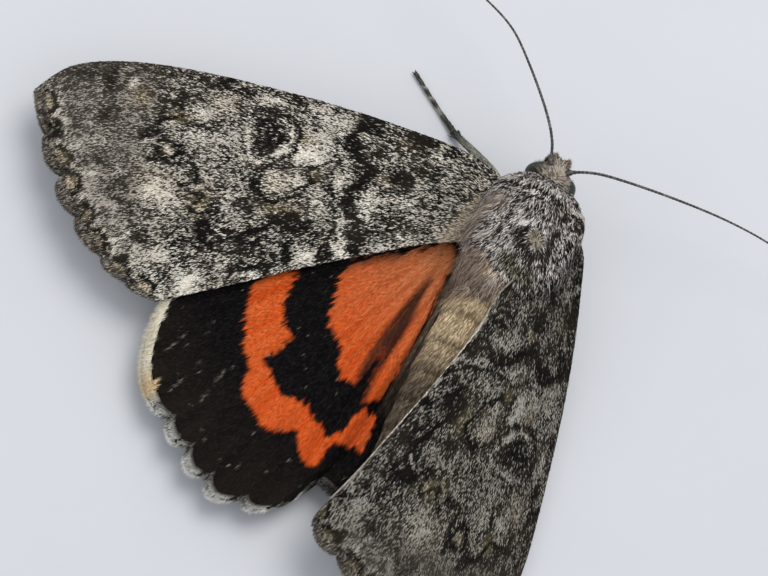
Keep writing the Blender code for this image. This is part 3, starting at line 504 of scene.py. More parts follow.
    @staticmethod
    def cream_edge(to_margin, v, grain):
        """The cream edge at the apex, and the honey coloured spot in the notch where it ends."""
        honey = np.exp(-((v - HINDWING_NOTCHES[0]) / 0.022) ** 2)
        rim = 1.5 * smooth_step(v / 0.05) * smooth_step((HINDWING_NOTCHES[0] - v) / 0.03)
        rim = np.maximum(rim, 2.1 * honey)
        return smooth_step((rim - to_margin + 0.9 * (grain - 0.5)) / 0.3), honey


def forewing_axes():
    """The forewing's root, and the directions of s and t."""
    root = vec(*FOREWING_ROOT)
    to_tornus = vec(*FOREWING_TORNUS) - root
    along = unit(vec(*FOREWING_APEX) - root)
    back = unit(to_tornus - along * (along @ to_tornus))
    return root, along, back


def forewing_place(p):
    """s and t of points on the left forewing."""
    root, along, back = forewing_axes()
    return (p - root) @ along, (p - root) @ back


def lobe_phase(v, notches):
    """A number that grows by one from the tip of each lobe of the margin to the next."""
    return np.interp(v, [0.0, *notches, 1.0], [0.0, *(np.arange(len(notches)) + 0.5), len(notches)])


def scallop_inset(v, notches, depths):
    """How far the outer margin is drawn in: rounded lobes with sharp notches of given depths between them."""
    depth = np.interp(v, notches, depths, right=LAST_NOTCH_DEPTH)
    return depth * (1 - np.abs(np.cos(math.pi * lobe_phase(v, notches))) ** LOBE_ROUNDNESS)


def sheet(costa, dorsum, margin, notches, depths, bulge, fold=None):
    """The middle surface of a wing as a function of r, root to margin, and v, front edge to rear edge."""
    costa, dorsum, margin = (curve_through(points) for points in (costa, dorsum, margin))
    front, rear, tip_front, tip_rear = costa(0.0), dorsum(0.0), costa(1.0), dorsum(1.0)

    def at(r, v):
        r, v = np.broadcast_arrays(np.asarray(r, float), np.asarray(v, float))
        rr, vv = r[..., None], v[..., None]
        root = front + (rear - front) * vv
        ends = margin(v) - ((1 - vv) * tip_front + vv * tip_rear)
        p = (1 - vv) * costa(r) + vv * dorsum(r) + rr * ends
        out = unit(margin(v) - root)
        p = p - out * (scallop_inset(v, notches, depths) * r**6)[..., None]
        rise = bulge * np.sin(math.pi * v) * smooth_step(r * 2.2)
        if fold:
            rise = rise + fold(r, v)
        return p + vec(0, 0, 1) * rise[..., None]

    return at


def forewing_left_sheet():
    root, along, back = forewing_axes()

    def place(s, t):
        return root + along * s + back * t

    costa = [place(*p) for p in (
        (-1.3, -0.9), (2.0, -2.45), (8.0, -3.55), (15.0, -4.35), (24.0, -4.75),
        (30.5, -4.4), (35.2, -3.05), (FOREWING_LENGTH, -0.2))]
    dorsum = [place(*p) for p in ((0.6, 5.0), (4.5, 6.0), (12.5, 9.3), (21.0, 13.2), (25.2, 15.1))]
    margin = [place(*p) for p in (
        (FOREWING_LENGTH, -0.2), (37.2, 3.0), (35.6, 6.6), (33.6, 9.7), (30.9, 12.5), (27.8, 14.5),
        (25.2, 15.1))]
    return sheet(costa, dorsum, margin, FOREWING_NOTCHES, FOREWING_NOTCH_DEPTHS, bulge=0.5)


def forewing_right_sheet():
    costa = ((3.3, 0.3, 6.2), (5.2, -0.9, 5.2), (6.5, -3.2, 4.1), (8.5, -8.0, 2.8), (10.25, -13.5, 1.95),
             (12.1, -21.0, 1.3), (13.0, -25.7, 1.15), (13.5, -31.0, 1.05), (13.6, -35.2, 1.05),
             (12.9, -38.5, 1.15))
    dorsum = ((1.4, -5.8, 8.3), (0.2, -9.3, 9.3), (-0.1, -13.0, 9.2), (-0.9, -18.1, 8.2), (-1.9, -22.8, 7.1),
              (-2.9, -27.3, 5.9), (-3.8, -30.4, 5.0))
    margin = ((12.9, -38.5, 1.15), (10.4, -39.2, 1.8), (7.2, -38.6, 2.55), (3.9, -37.4, 3.2),
              (0.8, -36.0, 3.8), (-2.2, -34.6, 4.25), (-4.3, -33.3, 4.6), (-3.8, -30.4, 5.0))
    return sheet(costa, dorsum, margin, FOREWING_NOTCHES, FOREWING_NOTCH_DEPTHS, bulge=2.0)


def hindwing_left_sheet():
    root = vec(*HINDWING_ROOT)

    def place(radius, degrees):
        a = math.radians(degrees)
        drop = 2.9 * (radius / HINDWING_LENGTH) ** 0.9
        return root + vec(-radius * math.cos(a), -radius * math.sin(a), -drop)

    costa = [(-3.0, -2.7, 4.9), place(3.5, 33), place(10.0, 38.5), place(19.0, 42.0), place(26.6, 43.5)]
    dorsum = ((-2.7, -6.6, 4.3), (-2.6, -10.2, 3.6), (-2.2, -15.0, 3.0), (-1.8, -20.5, 2.55),
              (-2.0, -25.2, 2.25), (-3.6, -29.3, 2.2))
    rays = ((43.5, 26.6), (46.5, 28.0), (51.0, 29.9), (56.0, 31.4), (62.0, HINDWING_LENGTH), (68.0, 32.1),
            (74.0, 32.6), (79.0, 31.6), (83.0, 30.3), (85.4, 28.2), (86.8, 26.0), (89.0, 25.9))
    margin = [place(radius, degrees) for degrees, radius in rays] + [(-3.6, -29.3, 2.2)]

    def fold(r, v):
        """The front lies close under the forewing, and the veins' pleats end in one fold at the rear."""
        front = 0.75 * smooth_step((0.24 - v) / 0.22) * smooth_step(r * 3)
        pleats = 0.13 * np.cos(2 * math.pi * WING_VEINS * v) * smooth_step(r * 2.5)
        return front + pleats - 0.5 * np.exp(-((v - 0.86) / 0.04) ** 2) * smooth_step(r * 2.5)

    return sheet(costa, dorsum, margin, HINDWING_NOTCHES, HINDWING_NOTCH_DEPTHS, bulge=0.35, fold=fold)


def hindwing_right_sheet():
    costa = ((3.0, -2.6, 4.6), (5.0, -5.4, 4.0), (6.9, -10.0, 2.9), (8.4, -16.0, 2.0), (9.3, -22.0, 1.5),
             (9.4, -28.0, 1.4))
    dorsum = ((2.9, -6.6, 4.7), (4.2, -10.2, 4.6), (4.1, -15.0, 4.2), (3.4, -20.5, 3.5), (2.3, -27.0, 2.9))
    margin = ((9.4, -28.0, 1.4), (8.1, -30.0, 1.8), (6.2, -30.6, 2.2), (4.2, -29.6, 2.6), (2.3, -27.0, 2.9))

    def pleats(r, v):
        return 0.16 * np.cos(2 * math.pi * WING_VEINS * v) * smooth_step(r * 3)

    depths = [0.4 * depth for depth in HINDWING_NOTCH_DEPTHS]
    return sheet(costa, dorsum, margin, HINDWING_NOTCHES, depths, bulge=0.9, fold=pleats)


def place_object(name, data):
    obj = bpy.data.objects.new(name, data)
    bpy.context.scene.collection.objects.link(obj)
    return obj


def grid_object(name, points, faces, uv):
    """A mesh of four-sided faces with a UV place for each point."""
    mesh = bpy.data.meshes.new(name)
    mesh.vertices.add(len(points))
    mesh.vertices.foreach_set("co", np.asarray(points, np.float32).ravel())
    faces = np.asarray(faces, np.int32)
    mesh.loops.add(faces.size)
    mesh.loops.foreach_set("vertex_index", faces.ravel())
    mesh.polygons.add(len(faces))
    mesh.polygons.foreach_set("loop_start", np.arange(0, faces.size, faces.shape[1], dtype=np.int32))
    mesh.update(calc_edges=True)
    layer = mesh.uv_layers.new(name="UVMap")
    layer.data.foreach_set("uv", np.asarray(uv, np.float32)[faces.ravel()].ravel())
    mesh.validate()
    obj = place_object(name, mesh)
    fix_outside(obj)
    return obj


def fix_outside(obj):
    """Turns every face outwards."""
    work = bmesh.new()
    work.from_mesh(obj.data)
    bmesh.ops.recalc_face_normals(work, faces=work.faces)
    work.to_mesh(obj.data)
    work.free()


def apply_modifiers(obj):
    graph = bpy.context.evaluated_depsgraph_get()
    mesh = bpy.data.meshes.new_from_object(obj.evaluated_get(graph))
    obj.modifiers.clear()
    obj.data = mesh


def read_values(items, key, width=1, kind=np.float32):
    """A number, or a row of numbers, of each of a mesh's items."""
    values = np.empty(len(items) * width, kind)
    items.foreach_get(key, values)
    return values.reshape(-1, width) if width > 1 else values


def mesh_points(mesh):
    """The points of a mesh and their normals."""
    normals = read_values(mesh.vertex_normals, "vector", 3)
    return read_values(mesh.vertices, "co", 3).astype(float), normals.astype(float)


def set_points(mesh, name, kind, key, rows):
    layer = mesh.attributes.new(name, kind, "POINT")
    layer.data.foreach_set(key, np.asarray(rows, np.float32).ravel())


def set_colour(mesh, name, colours):
    set_points(mesh, name, "FLOAT_COLOR", "color", np.column_stack([colours, np.ones(len(colours))]))


def set_value(mesh, name, values):
    set_points(mesh, name, "FLOAT", "value", values)


def paint_mesh(mesh, ground, fleck, share, lie, reach, cover, rise, wild=None):
    """Gives a skin the markings and the lie that its coat reads, and the mean colour that it shows itself."""
    set_value(mesh, "wild", np.ones(len(mesh.vertices)) if wild is None else wild)
    set_colour(mesh, "ground", ground)
    set_colour(mesh, "fleck", fleck)
    set_value(mesh, "share", share)
    set_colour(mesh, "markings", blend(ground, fleck, share))
    set_points(mesh, "lie", "FLOAT_VECTOR", "vector", lie)
    set_value(mesh, "reach", reach)
    set_value(mesh, "cover", cover)
    set_value(mesh, "rise", rise)


class Tree:
    """Adds nodes to a tree, with their inputs given by name as values or as other nodes' outputs."""

    def __init__(self, tree):
        self.tree = tree

    def node(self, kind, inputs=None, **settings):
        made = self.tree.nodes.new(kind)
        for key, value in settings.items():
            setattr(made, key, value)
        for key, value in (inputs or {}).items():
            socket = made.inputs[key] if isinstance(key, int) else self.socket(made, key)
            if isinstance(value, bpy.types.NodeSocket):
                self.tree.links.new(value, socket)
            else:
                socket.default_value = value
        return made

    @staticmethod
    def socket(made, name):
        """The enabled input of that name or identifier."""
        for socket in made.inputs:
            if socket.identifier == name:
                return socket
        return next(s for s in made.inputs if s.name == name and s.enabled)

    def math(self, operation, a, b=0.0, c=0.0):
        inputs = {0: a, 1: b, 2: c} if operation == "MULTIPLY_ADD" else {0: a, 1: b}
        return self.node("ShaderNodeMath", inputs, operation=operation).outputs[0]

    def mix(self, factor, a, b):
        """The colour a turning to b."""
        inputs = {"Factor_Float": factor, "A_Color": a, "B_Color": b}
        return self.live_output(self.node("ShaderNodeMix", inputs, data_type="RGBA"))

    def times(self, a, b):
        return self.math("MULTIPLY", a, b)

    def vector(self, **parts):
        return self.node("ShaderNodeCombineXYZ", parts).outputs[0]

    def parts(self, vector):
        return self.node("ShaderNodeSeparateXYZ", {0: vector}).outputs

    def scale(self, vector, factor):
        return self.node("ShaderNodeVectorMath", {0: vector, "Scale": factor}, operation="SCALE").outputs[0]

    def bump(self, height, strength, distance):
        inputs = {"Height": height, "Strength": strength, "Distance": distance}
        return self.node("ShaderNodeBump", inputs).outputs[0]

    def store(self, geometry, name, value, data_type, domain="POINT"):
        made = self.node("GeometryNodeStoreNamedAttribute", {
            "Geometry": geometry, "Name": name, "Value": value}, data_type=data_type, domain=domain)
        return made.outputs[0]

    @staticmethod
    def live_output(made):
        """The one output in use of a node that has one for each data type."""
        return next(out for out in made.outputs if out.enabled)

    def random(self, low, high, seed):
        made = self.node("FunctionNodeRandomValue", {"Min_001": low, "Max_001": high, "Seed": seed},
                         data_type="FLOAT")
        return self.live_output(made)

    def attribute(self, name, data_type="FLOAT"):
        made = self.node("GeometryNodeInputNamedAttribute", {"Name": name}, data_type=data_type)
        return made.outputs["Attribute"]


def new_tree(name, kind, inputs, outputs):
    """A node tree with named inputs, of given kinds and start values, and named outputs."""
    tree = bpy.data.node_groups.new(name, kind)
    for label, socket, start in inputs:
        made = tree.interface.new_socket(label, in_out="INPUT", socket_type=socket)
        if start is not None:
            made.default_value = start
    for label, socket in outputs:
        tree.interface.new_socket(label, in_out="OUTPUT", socket_type=socket)
    return tree


COAT_INPUTS = (
    ("Geometry", "NodeSocketGeometry", None),
    ("Spacing", "NodeSocketFloat", 0.0003), ("Length", "NodeSocketFloat", 0.0005),
    ("Width", "NodeSocketFloat", 0.00015), ("Thickness", "NodeSocketFloat", 0.00002),
    ("Hair", "NodeSocketBool", False), ("Spread", "NodeSocketFloat", 0.2), ("Lift", "NodeSocketFloat", 0.1),
    ("Unevenness", "NodeSocketFloat", 0.2), ("Sharpness", "NodeSocketFloat", 2.0),
    ("Seed", "NodeSocketInt", 1), ("Material", "NodeSocketMaterial", None),
)
COAT_LENGTHS = ("Spacing", "Length", "Width", "Thickness")
BAKE_PATCH = 0.003      # side of one vane's patch on the UV map


def pointed_cone(t, segments, base_radius):
    """A cone with three sides and its point at z = 1."""
    return t.node("GeometryNodeMeshCone", {
        "Vertices": 3, "Side Segments": segments, "Fill Segments": 1, "Radius Top": 0.0,
        "Radius Bottom": base_radius, "Depth": 1.0}, fill_type="NGON").outputs["Mesh"]


def scale_shape(t):
    """A flat three-cornered vane, one long along x and one wide."""
    return t.node("GeometryNodeTransform", {
        "Geometry": pointed_cone(t, 1, 1.0), "Translation": (1 / 3, 0.0, 0.0),
        "Scale": (2 / 3, 0.577, 1.0)}).outputs[0]


def hair_shape(t):
    """A slim cone along x, plumper halfway."""
    hair = t.node("GeometryNodeTransform", {
        "Geometry": pointed_cone(t, 2, 0.5), "Rotation": (0.0, math.pi / 2, 0.0)}).outputs[0]
    here = t.parts(t.node("GeometryNodeInputPosition").outputs[0])
    plump = t.times(t.times(here[0], t.math("SUBTRACT", 1.0, here[0])), 1.6)
    offset = t.vector(Y=t.times(plump, here[1]), Z=t.times(plump, here[2]))
    return t.node("GeometryNodeSetPosition", {"Geometry": hair, "Offset": offset}).outputs[0]


def vane_colour(t, given, draw):
    """Each vane is a fleck or ground by the share at its root, and a little lighter or darker."""
    odds = t.math("SUBTRACT", t.attribute("share"), draw(0.0, 1.0, 0))
    part = t.node("ShaderNodeClamp", {0: t.math("MULTIPLY_ADD", odds, given["Sharpness"], 0.5)}).outputs[0]
    colour = t.mix(part, t.attribute("ground", "FLOAT_COLOR"), t.attribute("fleck", "FLOAT_COLOR"))
    uneven = given["Unevenness"]
    return t.scale(colour, draw(t.math("SUBTRACT", 1.0, uneven), t.math("ADD", 1.0, uneven), 7))


def vane_turn(t, given, draw, normal):
    """Each vane lies along the skin's lie, lifted and turned aside a little."""
    facing = t.node("FunctionNodeAxesToRotation", {
        "Primary Axis": normal, "Secondary Axis": t.attribute("lie", "FLOAT_VECTOR")},
        primary_axis="Z", secondary_axis="X").outputs[0]
    lift = t.times(t.math("ADD", given["Lift"], t.attribute("rise")), t.times(draw(0.6, 1.4, 1), -1.0))
    yaw = t.times(draw(-1.0, 1.0, 2), t.times(given["Spread"], t.attribute("wild")))
    turn = t.node("FunctionNodeEulerToRotation", {0: t.vector(Y=lift, Z=yaw)}).outputs[0]
    return t.node("FunctionNodeRotateRotation", {"Rotation": facing, "Rotate By": turn},
                  rotation_space="LOCAL").outputs[0]


def coat_tree():
    """Geometry Nodes tree that covers a painted skin with scales or hairs along its lie."""
    found = bpy.data.node_groups.get("Moth coat")
    if found:
        return found
    tree = new_tree("Moth coat", "GeometryNodeTree", COAT_INPUTS, (("Geometry", "NodeSocketGeometry"),))
    t = Tree(tree)
    given = t.node("NodeGroupInput").outputs

    def draw(low, high, step):
        """A random number of each vane, another one for each step from the seed."""
        return t.random(low, high, t.math("ADD", given["Seed"], step))

    roots = t.node("GeometryNodeDistributePointsOnFaces", {
        "Mesh": given["Geometry"], "Distance Min": given["Spacing"],
        "Density Max": t.math("DIVIDE", 1.6, t.times(given["Spacing"], given["Spacing"])),
        "Density Factor": t.attribute("cover"), "Seed": given["Seed"]}, distribute_method="POISSON").outputs
    points = t.store(roots["Points"], "coat", vane_colour(t, given, draw), "FLOAT_COLOR")
    points = t.store(points, "root_place", t.attribute("UVMap", "FLOAT_VECTOR"), "FLOAT_VECTOR")
    vane = t.node("GeometryNodeSwitch", {
        "Switch": given["Hair"], "False": scale_shape(t), "True": hair_shape(t)}).outputs[0]
    vane = t.store(vane, "own_place", t.node("GeometryNodeInputPosition").outputs[0], "FLOAT_VECTOR")
    length = t.times(t.times(given["Length"], t.attribute("reach")), draw(0.7, 1.25, 3))
    width = t.times(given["Width"], draw(0.75, 1.25, 4))
    copies = t.node("GeometryNodeInstanceOnPoints", {
        "Points": points, "Instance": vane, "Rotation": vane_turn(t, given, draw, roots["Normal"]),
        "Scale": t.vector(X=length, Y=width, Z=given["Thickness"])}).outputs[0]
    coat = t.node("GeometryNodeRealizeInstances", {"Geometry": copies}).outputs[0]
    root, own = (t.parts(t.attribute(name, "FLOAT_VECTOR")) for name in ("root_place", "own_place"))
    across = t.math("MULTIPLY_ADD", t.math("SUBTRACT", own[0], 0.5), BAKE_PATCH, root[0])
    up = t.math("MULTIPLY_ADD", own[1], BAKE_PATCH, root[1])
    coat = t.store(coat, "OFBake", t.vector(X=across, Y=up), "FLOAT2", "CORNER")
    coat = t.node("GeometryNodeSetMaterial", {"Geometry": coat, "Material": given["Material"]}).outputs[0]
    t.node("NodeGroupOutput", {0: coat})
    return tree


def set_inputs(modifier, values):
    """Sets a geometry nodes modifier's inputs by their names."""
    names = {item.name: item.identifier for item in modifier.node_group.interface.items_tree
             if item.in_out == "INPUT"}
    for name, value in values.items():
        modifier[names[name]] = value


def grow(name, skin, material, **sizes):
    """A coat over a painted skin as one plain mesh. Lengths are in millimetres."""
    obj = place_object(name, skin.data.copy())
    coat = obj.modifiers.new("coat", "NODES")
    coat.node_group = coat_tree()
    values = {key.capitalize(): value for key, value in sizes.items()}
    values.update({label: values[label] * MM for label in COAT_LENGTHS})
    set_inputs(coat, {"Material": material, **values})
    apply_modifiers(obj)
    mesh = obj.data
    keep = {"coat", "OFBake", "position"}
    for label in [a.name for a in mesh.attributes if a.name not in keep and not a.name.startswith(".")]:
        layer = mesh.attributes.get(label)
        if layer and not layer.is_required:
            mesh.attributes.remove(layer)
    mesh.materials.clear()
    mesh.materials.append(material)
    print(name, "triangles", sum(len(p.vertices) - 2 for p in mesh.polygons))
    return obj


PATCH_INPUTS = (
    ("Scale", "NodeSocketFloat", 1000.0), ("Detail", "NodeSocketFloat", 2.0),
    ("Low", "NodeSocketFloat", 0.0), ("High", "NodeSocketFloat", 1.0),
    ("First", "NodeSocketColor", (0.0, 0.0, 0.0, 1.0)), ("Second", "NodeSocketColor", (1.0, 1.0, 1.0, 1.0)),
)


def patches_group():
    """Shader group for an uneven surface: one colour turns to another in soft patches of some height."""
    found = bpy.data.node_groups.get("Moth patches")
    if found:
        return found
    outputs = (("Colour", "NodeSocketColor"), ("Height", "NodeSocketFloat"))
    tree = new_tree("Moth patches", "ShaderNodeTree", PATCH_INPUTS, outputs)
    t = Tree(tree)
    given = t.node("NodeGroupInput").outputs
    noise = t.node("ShaderNodeTexNoise", {
        "Vector": t.node("ShaderNodeTexCoord").outputs["Object"], "Scale": given["Scale"],
        "Detail": given["Detail"]}).outputs["Fac"]
    part = t.node("ShaderNodeMapRange", {0: noise, 1: given["Low"], 2: given["High"]}).outputs[0]
    t.node("NodeGroupOutput", {"Colour": t.mix(part, given["First"], given["Second"]), "Height": noise})
    return tree


class Finish:
    """A material under way: its nodes, and its shader's inputs by name."""

    def __init__(self, name, roughness, specular):
        self.material = bpy.data.materials.new(name)
        self.material.use_nodes = True
        self.nodes = Tree(self.material.node_tree)
        self.shader = self.material.node_tree.nodes["Principled BSDF"]
        self.shader.inputs["Roughness"].default_value = roughness
        self.shader.inputs["Specular IOR Level"].default_value = specular

    def patches(self, first, second, **values):
        inputs = {"First": first, "Second": second}
        inputs.update({name.capitalize(): value for name, value in values.items()})
        return self.nodes.node("ShaderNodeGroup", inputs, node_tree=patches_group()).outputs

    def attribute(self, name):
        return self.nodes.node("ShaderNodeAttribute", attribute_name=name).outputs["Color"]

    def done(self, colour, relief=None):
        links = self.material.node_tree.links
        links.new(colour, self.shader.inputs["Base Color"])
        if relief:
            links.new(relief, self.shader.inputs["Normal"])
        return self.material


def coat_material(name, roughness, specular):
    """Scales or hairs in the colour that each was given."""
    finish = Finish(name, roughness, specular)
    return finish.done(finish.attribute("coat"))


def skin_material(name, grain):
    """The skin under the coat: its markings, broken up by fine grain, with a small relief."""
    finish = Finish(name, 0.75, 0.1)
    markings = finish.attribute("markings")
    uneven = finish.patches(finish.nodes.scale(markings, 0.45), finish.nodes.scale(markings, 1.35),
                            scale=grain, detail=3.0, low=0.3, high=0.7)
    return finish.done(uneven["Colour"], finish.nodes.bump(uneven["Height"], 0.4, 0.00003))


def eye_material():
    """Dark olive with fine facets."""
    finish = Finish("eye", 0.36, 0.3)
    colour = finish.patches((0.010, 0.012, 0.008, 1), (0.040, 0.044, 0.030, 1), scale=1300.0)["Colour"]
    place = finish.nodes.node("ShaderNodeTexCoord").outputs["Object"]
    facets = finish.nodes.node("ShaderNodeTexVoronoi", {"Vector": place, "Scale": 9000.0, "Randomness": 0.25})
    return finish.done(colour, finish.nodes.bump(facets.outputs["Distance"], 0.35, 0.00002))


def antenna_material():
    """Dark brown with paler patches of scales."""
    finish = Finish("antenna", 0.5, 0.4)
    return finish.done(finish.patches((0.03, 0.026, 0.024, 1), (0.182, 0.157, 0.125, 1), scale=3500.0,
                                      low=0.45, high=0.75)["Colour"])


def floor_material(colour):
    """Smooth and pale, a little uneven."""
    finish = Finish("floor", 0.45, 0.4)
    return finish.done(finish.patches((*[c * 0.93 for c in colour], 1), (*colour, 1), scale=60.0,
                                      detail=4.0)["Colour"])


def settle(piece, slot, *nodes):
    """The piece goes with the model's one body, and the CAD nodes that it replaces are hidden. The slot is
    not used.
    """
    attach(piece, "root")
    if nodes:
        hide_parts(*nodes)
    return piece


def sheet_directions(p):
    """Unit vectors along a grid of points and upwards out of it, and its steps across."""
    along = np.gradient(p, axis=0)
    across = np.gradient(p, axis=1)
    normal = unit(np.cross(along, across))
    if normal[..., 2].mean() < 0:
        normal = -normal
    return unit(along), across, normal


def wing_grid(at, edge, counts, thickness, relief):
    """Points and directions of a wing's upper and lower face, on a grid from root to edge."""
    count_r, count_v = counts
    r = np.linspace(0.0, 1.0, count_r)[:, None] * edge
    v = np.linspace(0.0, 1.0, count_v)[None, :]
    r, v = np.broadcast_arrays(r, v)
    p = at(r, v)
    along, across, normal = sheet_directions(p)
    nearest = np.round(v * WING_VEINS) / WING_VEINS
    width = np.linalg.norm(across, axis=-1) * (count_v - 1)
    vein = np.exp(-((v - nearest) * width / VEIN_WIDTH) ** 2) * smooth_step(r * 10) * relief
    top = p + normal * (thickness / 2 + vein)[..., None]
    low = p - normal * (thickness / 2)
    return dict(r=r, v=v, top=top, low=low, along=along)


def close_grid(shape):
    """Faces of a closed sheet between two grids of that shape, one's points after the other's."""
    n, m = shape[:2]
    index = np.arange(n * m).reshape(n, m)
    a, b, c, d = index[:-1, :-1], index[1:, :-1], index[1:, 1:], index[:-1, 1:]
    upper = np.stack([a, b, c, d], -1).reshape(-1, 4)
    lower = upper[:, ::-1] + n * m
    ring = np.concatenate([index[:, 0], index[-1, 1:], index[-2::-1, -1], index[0, -2:0:-1]])
    after = np.roll(ring, -1)
    rim = np.stack([ring, ring + n * m, after + n * m, after], -1)
    return np.concatenate([upper, lower, rim])


def stack_faces(upper, lower):
    """Two grids' layers of paint, one grid's points after the other's."""
    def rows(layer):
        layer = np.asarray(layer)
        return layer.reshape(-1, *layer.shape[2:])

    return [np.concatenate([rows(a), rows(b)]) for a, b in zip(upper, lower)]


def wing_skin(name, grid, upper, lower, material):
    """The closed membrane of a wing, painted on both faces, which share an unwrap side by side."""
    points, r, v = stack_faces((grid["top"], grid["r"], grid["v"]), (grid["low"], grid["r"], grid["v"]))
    half = len(r) // 2
    u = r * 0.48 + 0.01 + 0.5 * (np.arange(len(r)) >= half)
    uv = np.stack([u, v * 0.96 + 0.02], -1)
    obj = grid_object(name, to_frame(points), close_grid(grid["top"].shape), uv)
    paint_mesh(obj.data, *stack_faces(upper, lower))
    obj.data.shade_smooth()
    obj.data.materials.append(material)
    return obj


def forewing_faces(grid, folded_shade):
    """Paint of the forewing's two faces: bark pattern above, pale with dark bands below."""
    s, t = forewing_place(forewing_left_sheet()(grid["r"], grid["v"]))
    ground, fleck, share = Forewing().paint(s, t, grid["r"], folded_shade)
    lie = grid["along"]
    ones = np.ones_like(s)
    if folded_shade:
        # the folded wing: painted shade in the hollow at its base, and a pale line along the rear edge
        r, v = grid["r"], grid["v"]
        hollow_shade = smooth_step((0.20 - r + 0.05 * (cloud(s, t, 0.8, 29) - 0.5)) / 0.08)
        share = share * (1 - 0.8 * hollow_shade * smooth_step((v - 0.45) / 0.3))
        line = smooth_step((v - 0.978) / 0.008) * smooth_step((r - 0.22) / 0.05)
        ground = blend(ground, (0.36, 0.30, 0.23), line)
        fleck = blend(fleck, (0.78, 0.70, 0.58), line)
        share = share * (1 - line) + 0.8 * line
    upper = (ground, fleck, share, lie, ones, ones, 0 * ones)
    band = np.zeros_like(s)
    for at, half in UNDERSIDE_BANDS:
        middle = at + 0.8 * (cloud(t, s, 1.6, 31) - 0.5) + 0.08 * (t - 4)
        band = np.maximum(band, smooth_step((half - np.abs(s - middle)) / 0.6 + 0.5))
    under = blend((0.62, 0.55, 0.42), (0.03, 0.027, 0.024), band)
    fleck = blend(under, CHALK, 0.3 * ones)
    lower = (under, fleck, 0.25 * ones, lie, UNDERSIDE_REACH * ones, UNDERSIDE_COVER * ones, 0 * ones)
    return upper, lower


def hindwing_faces(grid):
    """Paint of the hindwing's two faces: orange and black above, the same but paler below."""
    place = hindwing_left_sheet()(grid["r"], grid["v"])
    a, b = HINDWING_ROOT[0] - place[..., 0], HINDWING_ROOT[1] - place[..., 1]
    ground, fleck, share, reach = Hindwing().paint(a, b, grid["r"], grid["v"])
    lie = grid["along"]
    ones = np.ones_like(a)
    upper = (ground, fleck, share, lie, reach, ones, 0 * ones)
    under = blend(ground, (0.75, 0.45, 0.22), 0.35 * smooth_step((ground[..., 0] - 0.1) * 4))
    lower = (under, fleck, share, lie, UNDERSIDE_REACH * ones, UNDERSIDE_COVER * ones, 0 * ones)
    return upper, lower


def fringe_band(at, edge, count, colours, reach):
    """A thin closed strip along a wing's outer edge, painted as the fringe that grows from it."""
    v = np.linspace(0.004, 0.996, count)[None, :]
    out = vec(0.0, 0.7, 1.0)[:, None]
    r = edge - FRINGE_BAND * (1 - out)
    r, v, out = np.broadcast_arrays(r, v, out)
    p = at(r, v)
    along, _, normal = sheet_directions(p)
    inner = (r - edge + FRINGE_BAND) * 18
    points, u, w = stack_faces((p + normal * 0.05, v, inner + 0.02), (p - normal * 0.05, v, inner + 0.52))
    obj = grid_object("band", to_frame(points), close_grid(p.shape), np.stack([u, w], -1))
    layers = (*colours(v, out), along, reach(v, out), np.ones_like(v), np.zeros_like(v))
    paint_mesh(obj.data, *stack_faces(layers, layers))
    return obj


def at_notch(v, notches):
    """1 at each notch of the margin and 0 at the tips of its lobes."""
    return 1 - np.abs(np.cos(math.pi * lobe_phase(v, notches)))


def forewing_fringe(v, out):
    """Grey tan, darker opposite the notches and at the inner row."""
    notch = at_notch(v, FOREWING_NOTCHES)
    ground = blend((0.075, 0.062, 0.047), BLACK, np.maximum(smooth_step(notch * 1.6 - 0.5), 0.6 * (1 - out)))
    return ground, blend(ground, (0.62, 0.55, 0.45), 0.85 * (1 - 0.7 * notch)), 0.36 + 0 * v


def forewing_fringe_reach(v, out):
    return np.ones_like(v)


def hindwing_fringe(v, out):
    """Cream, honey coloured at one notch; further back white at the lobes' tips, with soot between them."""
    honey = np.exp(-((v - HINDWING_NOTCHES[0]) / 0.045) ** 2)
    back = smooth_step((v - HINDWING_NOTCHES[0] - 0.01) / 0.05)
    notch = at_notch(v, HINDWING_NOTCHES)
    soot = back * np.maximum(0.75 * smooth_step(notch * 1.5 - 0.35), smooth_step((0.5 - out) / 0.3))
    soot = np.maximum(soot, smooth_step((v - 0.85) / 0.06))
    ground = blend((0.97, 0.82, 0.56), HONEY, np.clip(honey, 0, 0.9))
    ground = blend(ground, (0.93, 0.88, 0.78), 0.9 * back)
    ground = blend(ground, (0.035, 0.028, 0.02), soot)
    fleck = blend(blend((1.0, 0.95, 0.79), HONEY, 0.6 * honey), (1.0, 0.98, 0.93), back)
    return ground, blend(fleck, (0.10, 0.085, 0.065), 0.9 * soot), 0.6 - 0.3 * soot


def hindwing_fringe_reach(v, out):
    """Longer at the apex; further back the inner, sooty row is short and the notches are deeper."""
    back = smooth_step((v - HINDWING_NOTCHES[0] - 0.01) / 0.05)
    reach = 1 + 0.25 * np.exp(-((v - 0.14) / 0.1) ** 2) - 0.35 * at_notch(v, HINDWING_NOTCHES) * back
    return reach * (1 - 0.6 * back * smooth_step((0.5 - out) / 0.3))


class MothWings(bpy.types.PropertyGroup):
    scale_length: FloatProperty(name="Scale length", description="Length of a wing scale in millimetres",
                                default=0.33, min=0.1, max=2.0)
    scale_width: FloatProperty(name="Scale width", description="Width of a wing scale in millimetres",
                               default=0.115, min=0.03, max=1.0)
    scale_spacing: FloatProperty(name="Scale spacing", default=0.086, min=0.05, max=2.0,
                                 description="Least distance between scale roots in millimetres")
    membrane: FloatProperty(name="Membrane", description="Thickness of the membrane in millimetres",
                            default=0.14, min=0.05, max=0.5)
    vein_height: FloatProperty(name="Vein height", description="Height of the veins in millimetres",
                               default=0.07, min=0.0, max=0.3)
    seed: IntProperty(name="Seed", description="Seed of the scales' random draw", default=5, min=0)


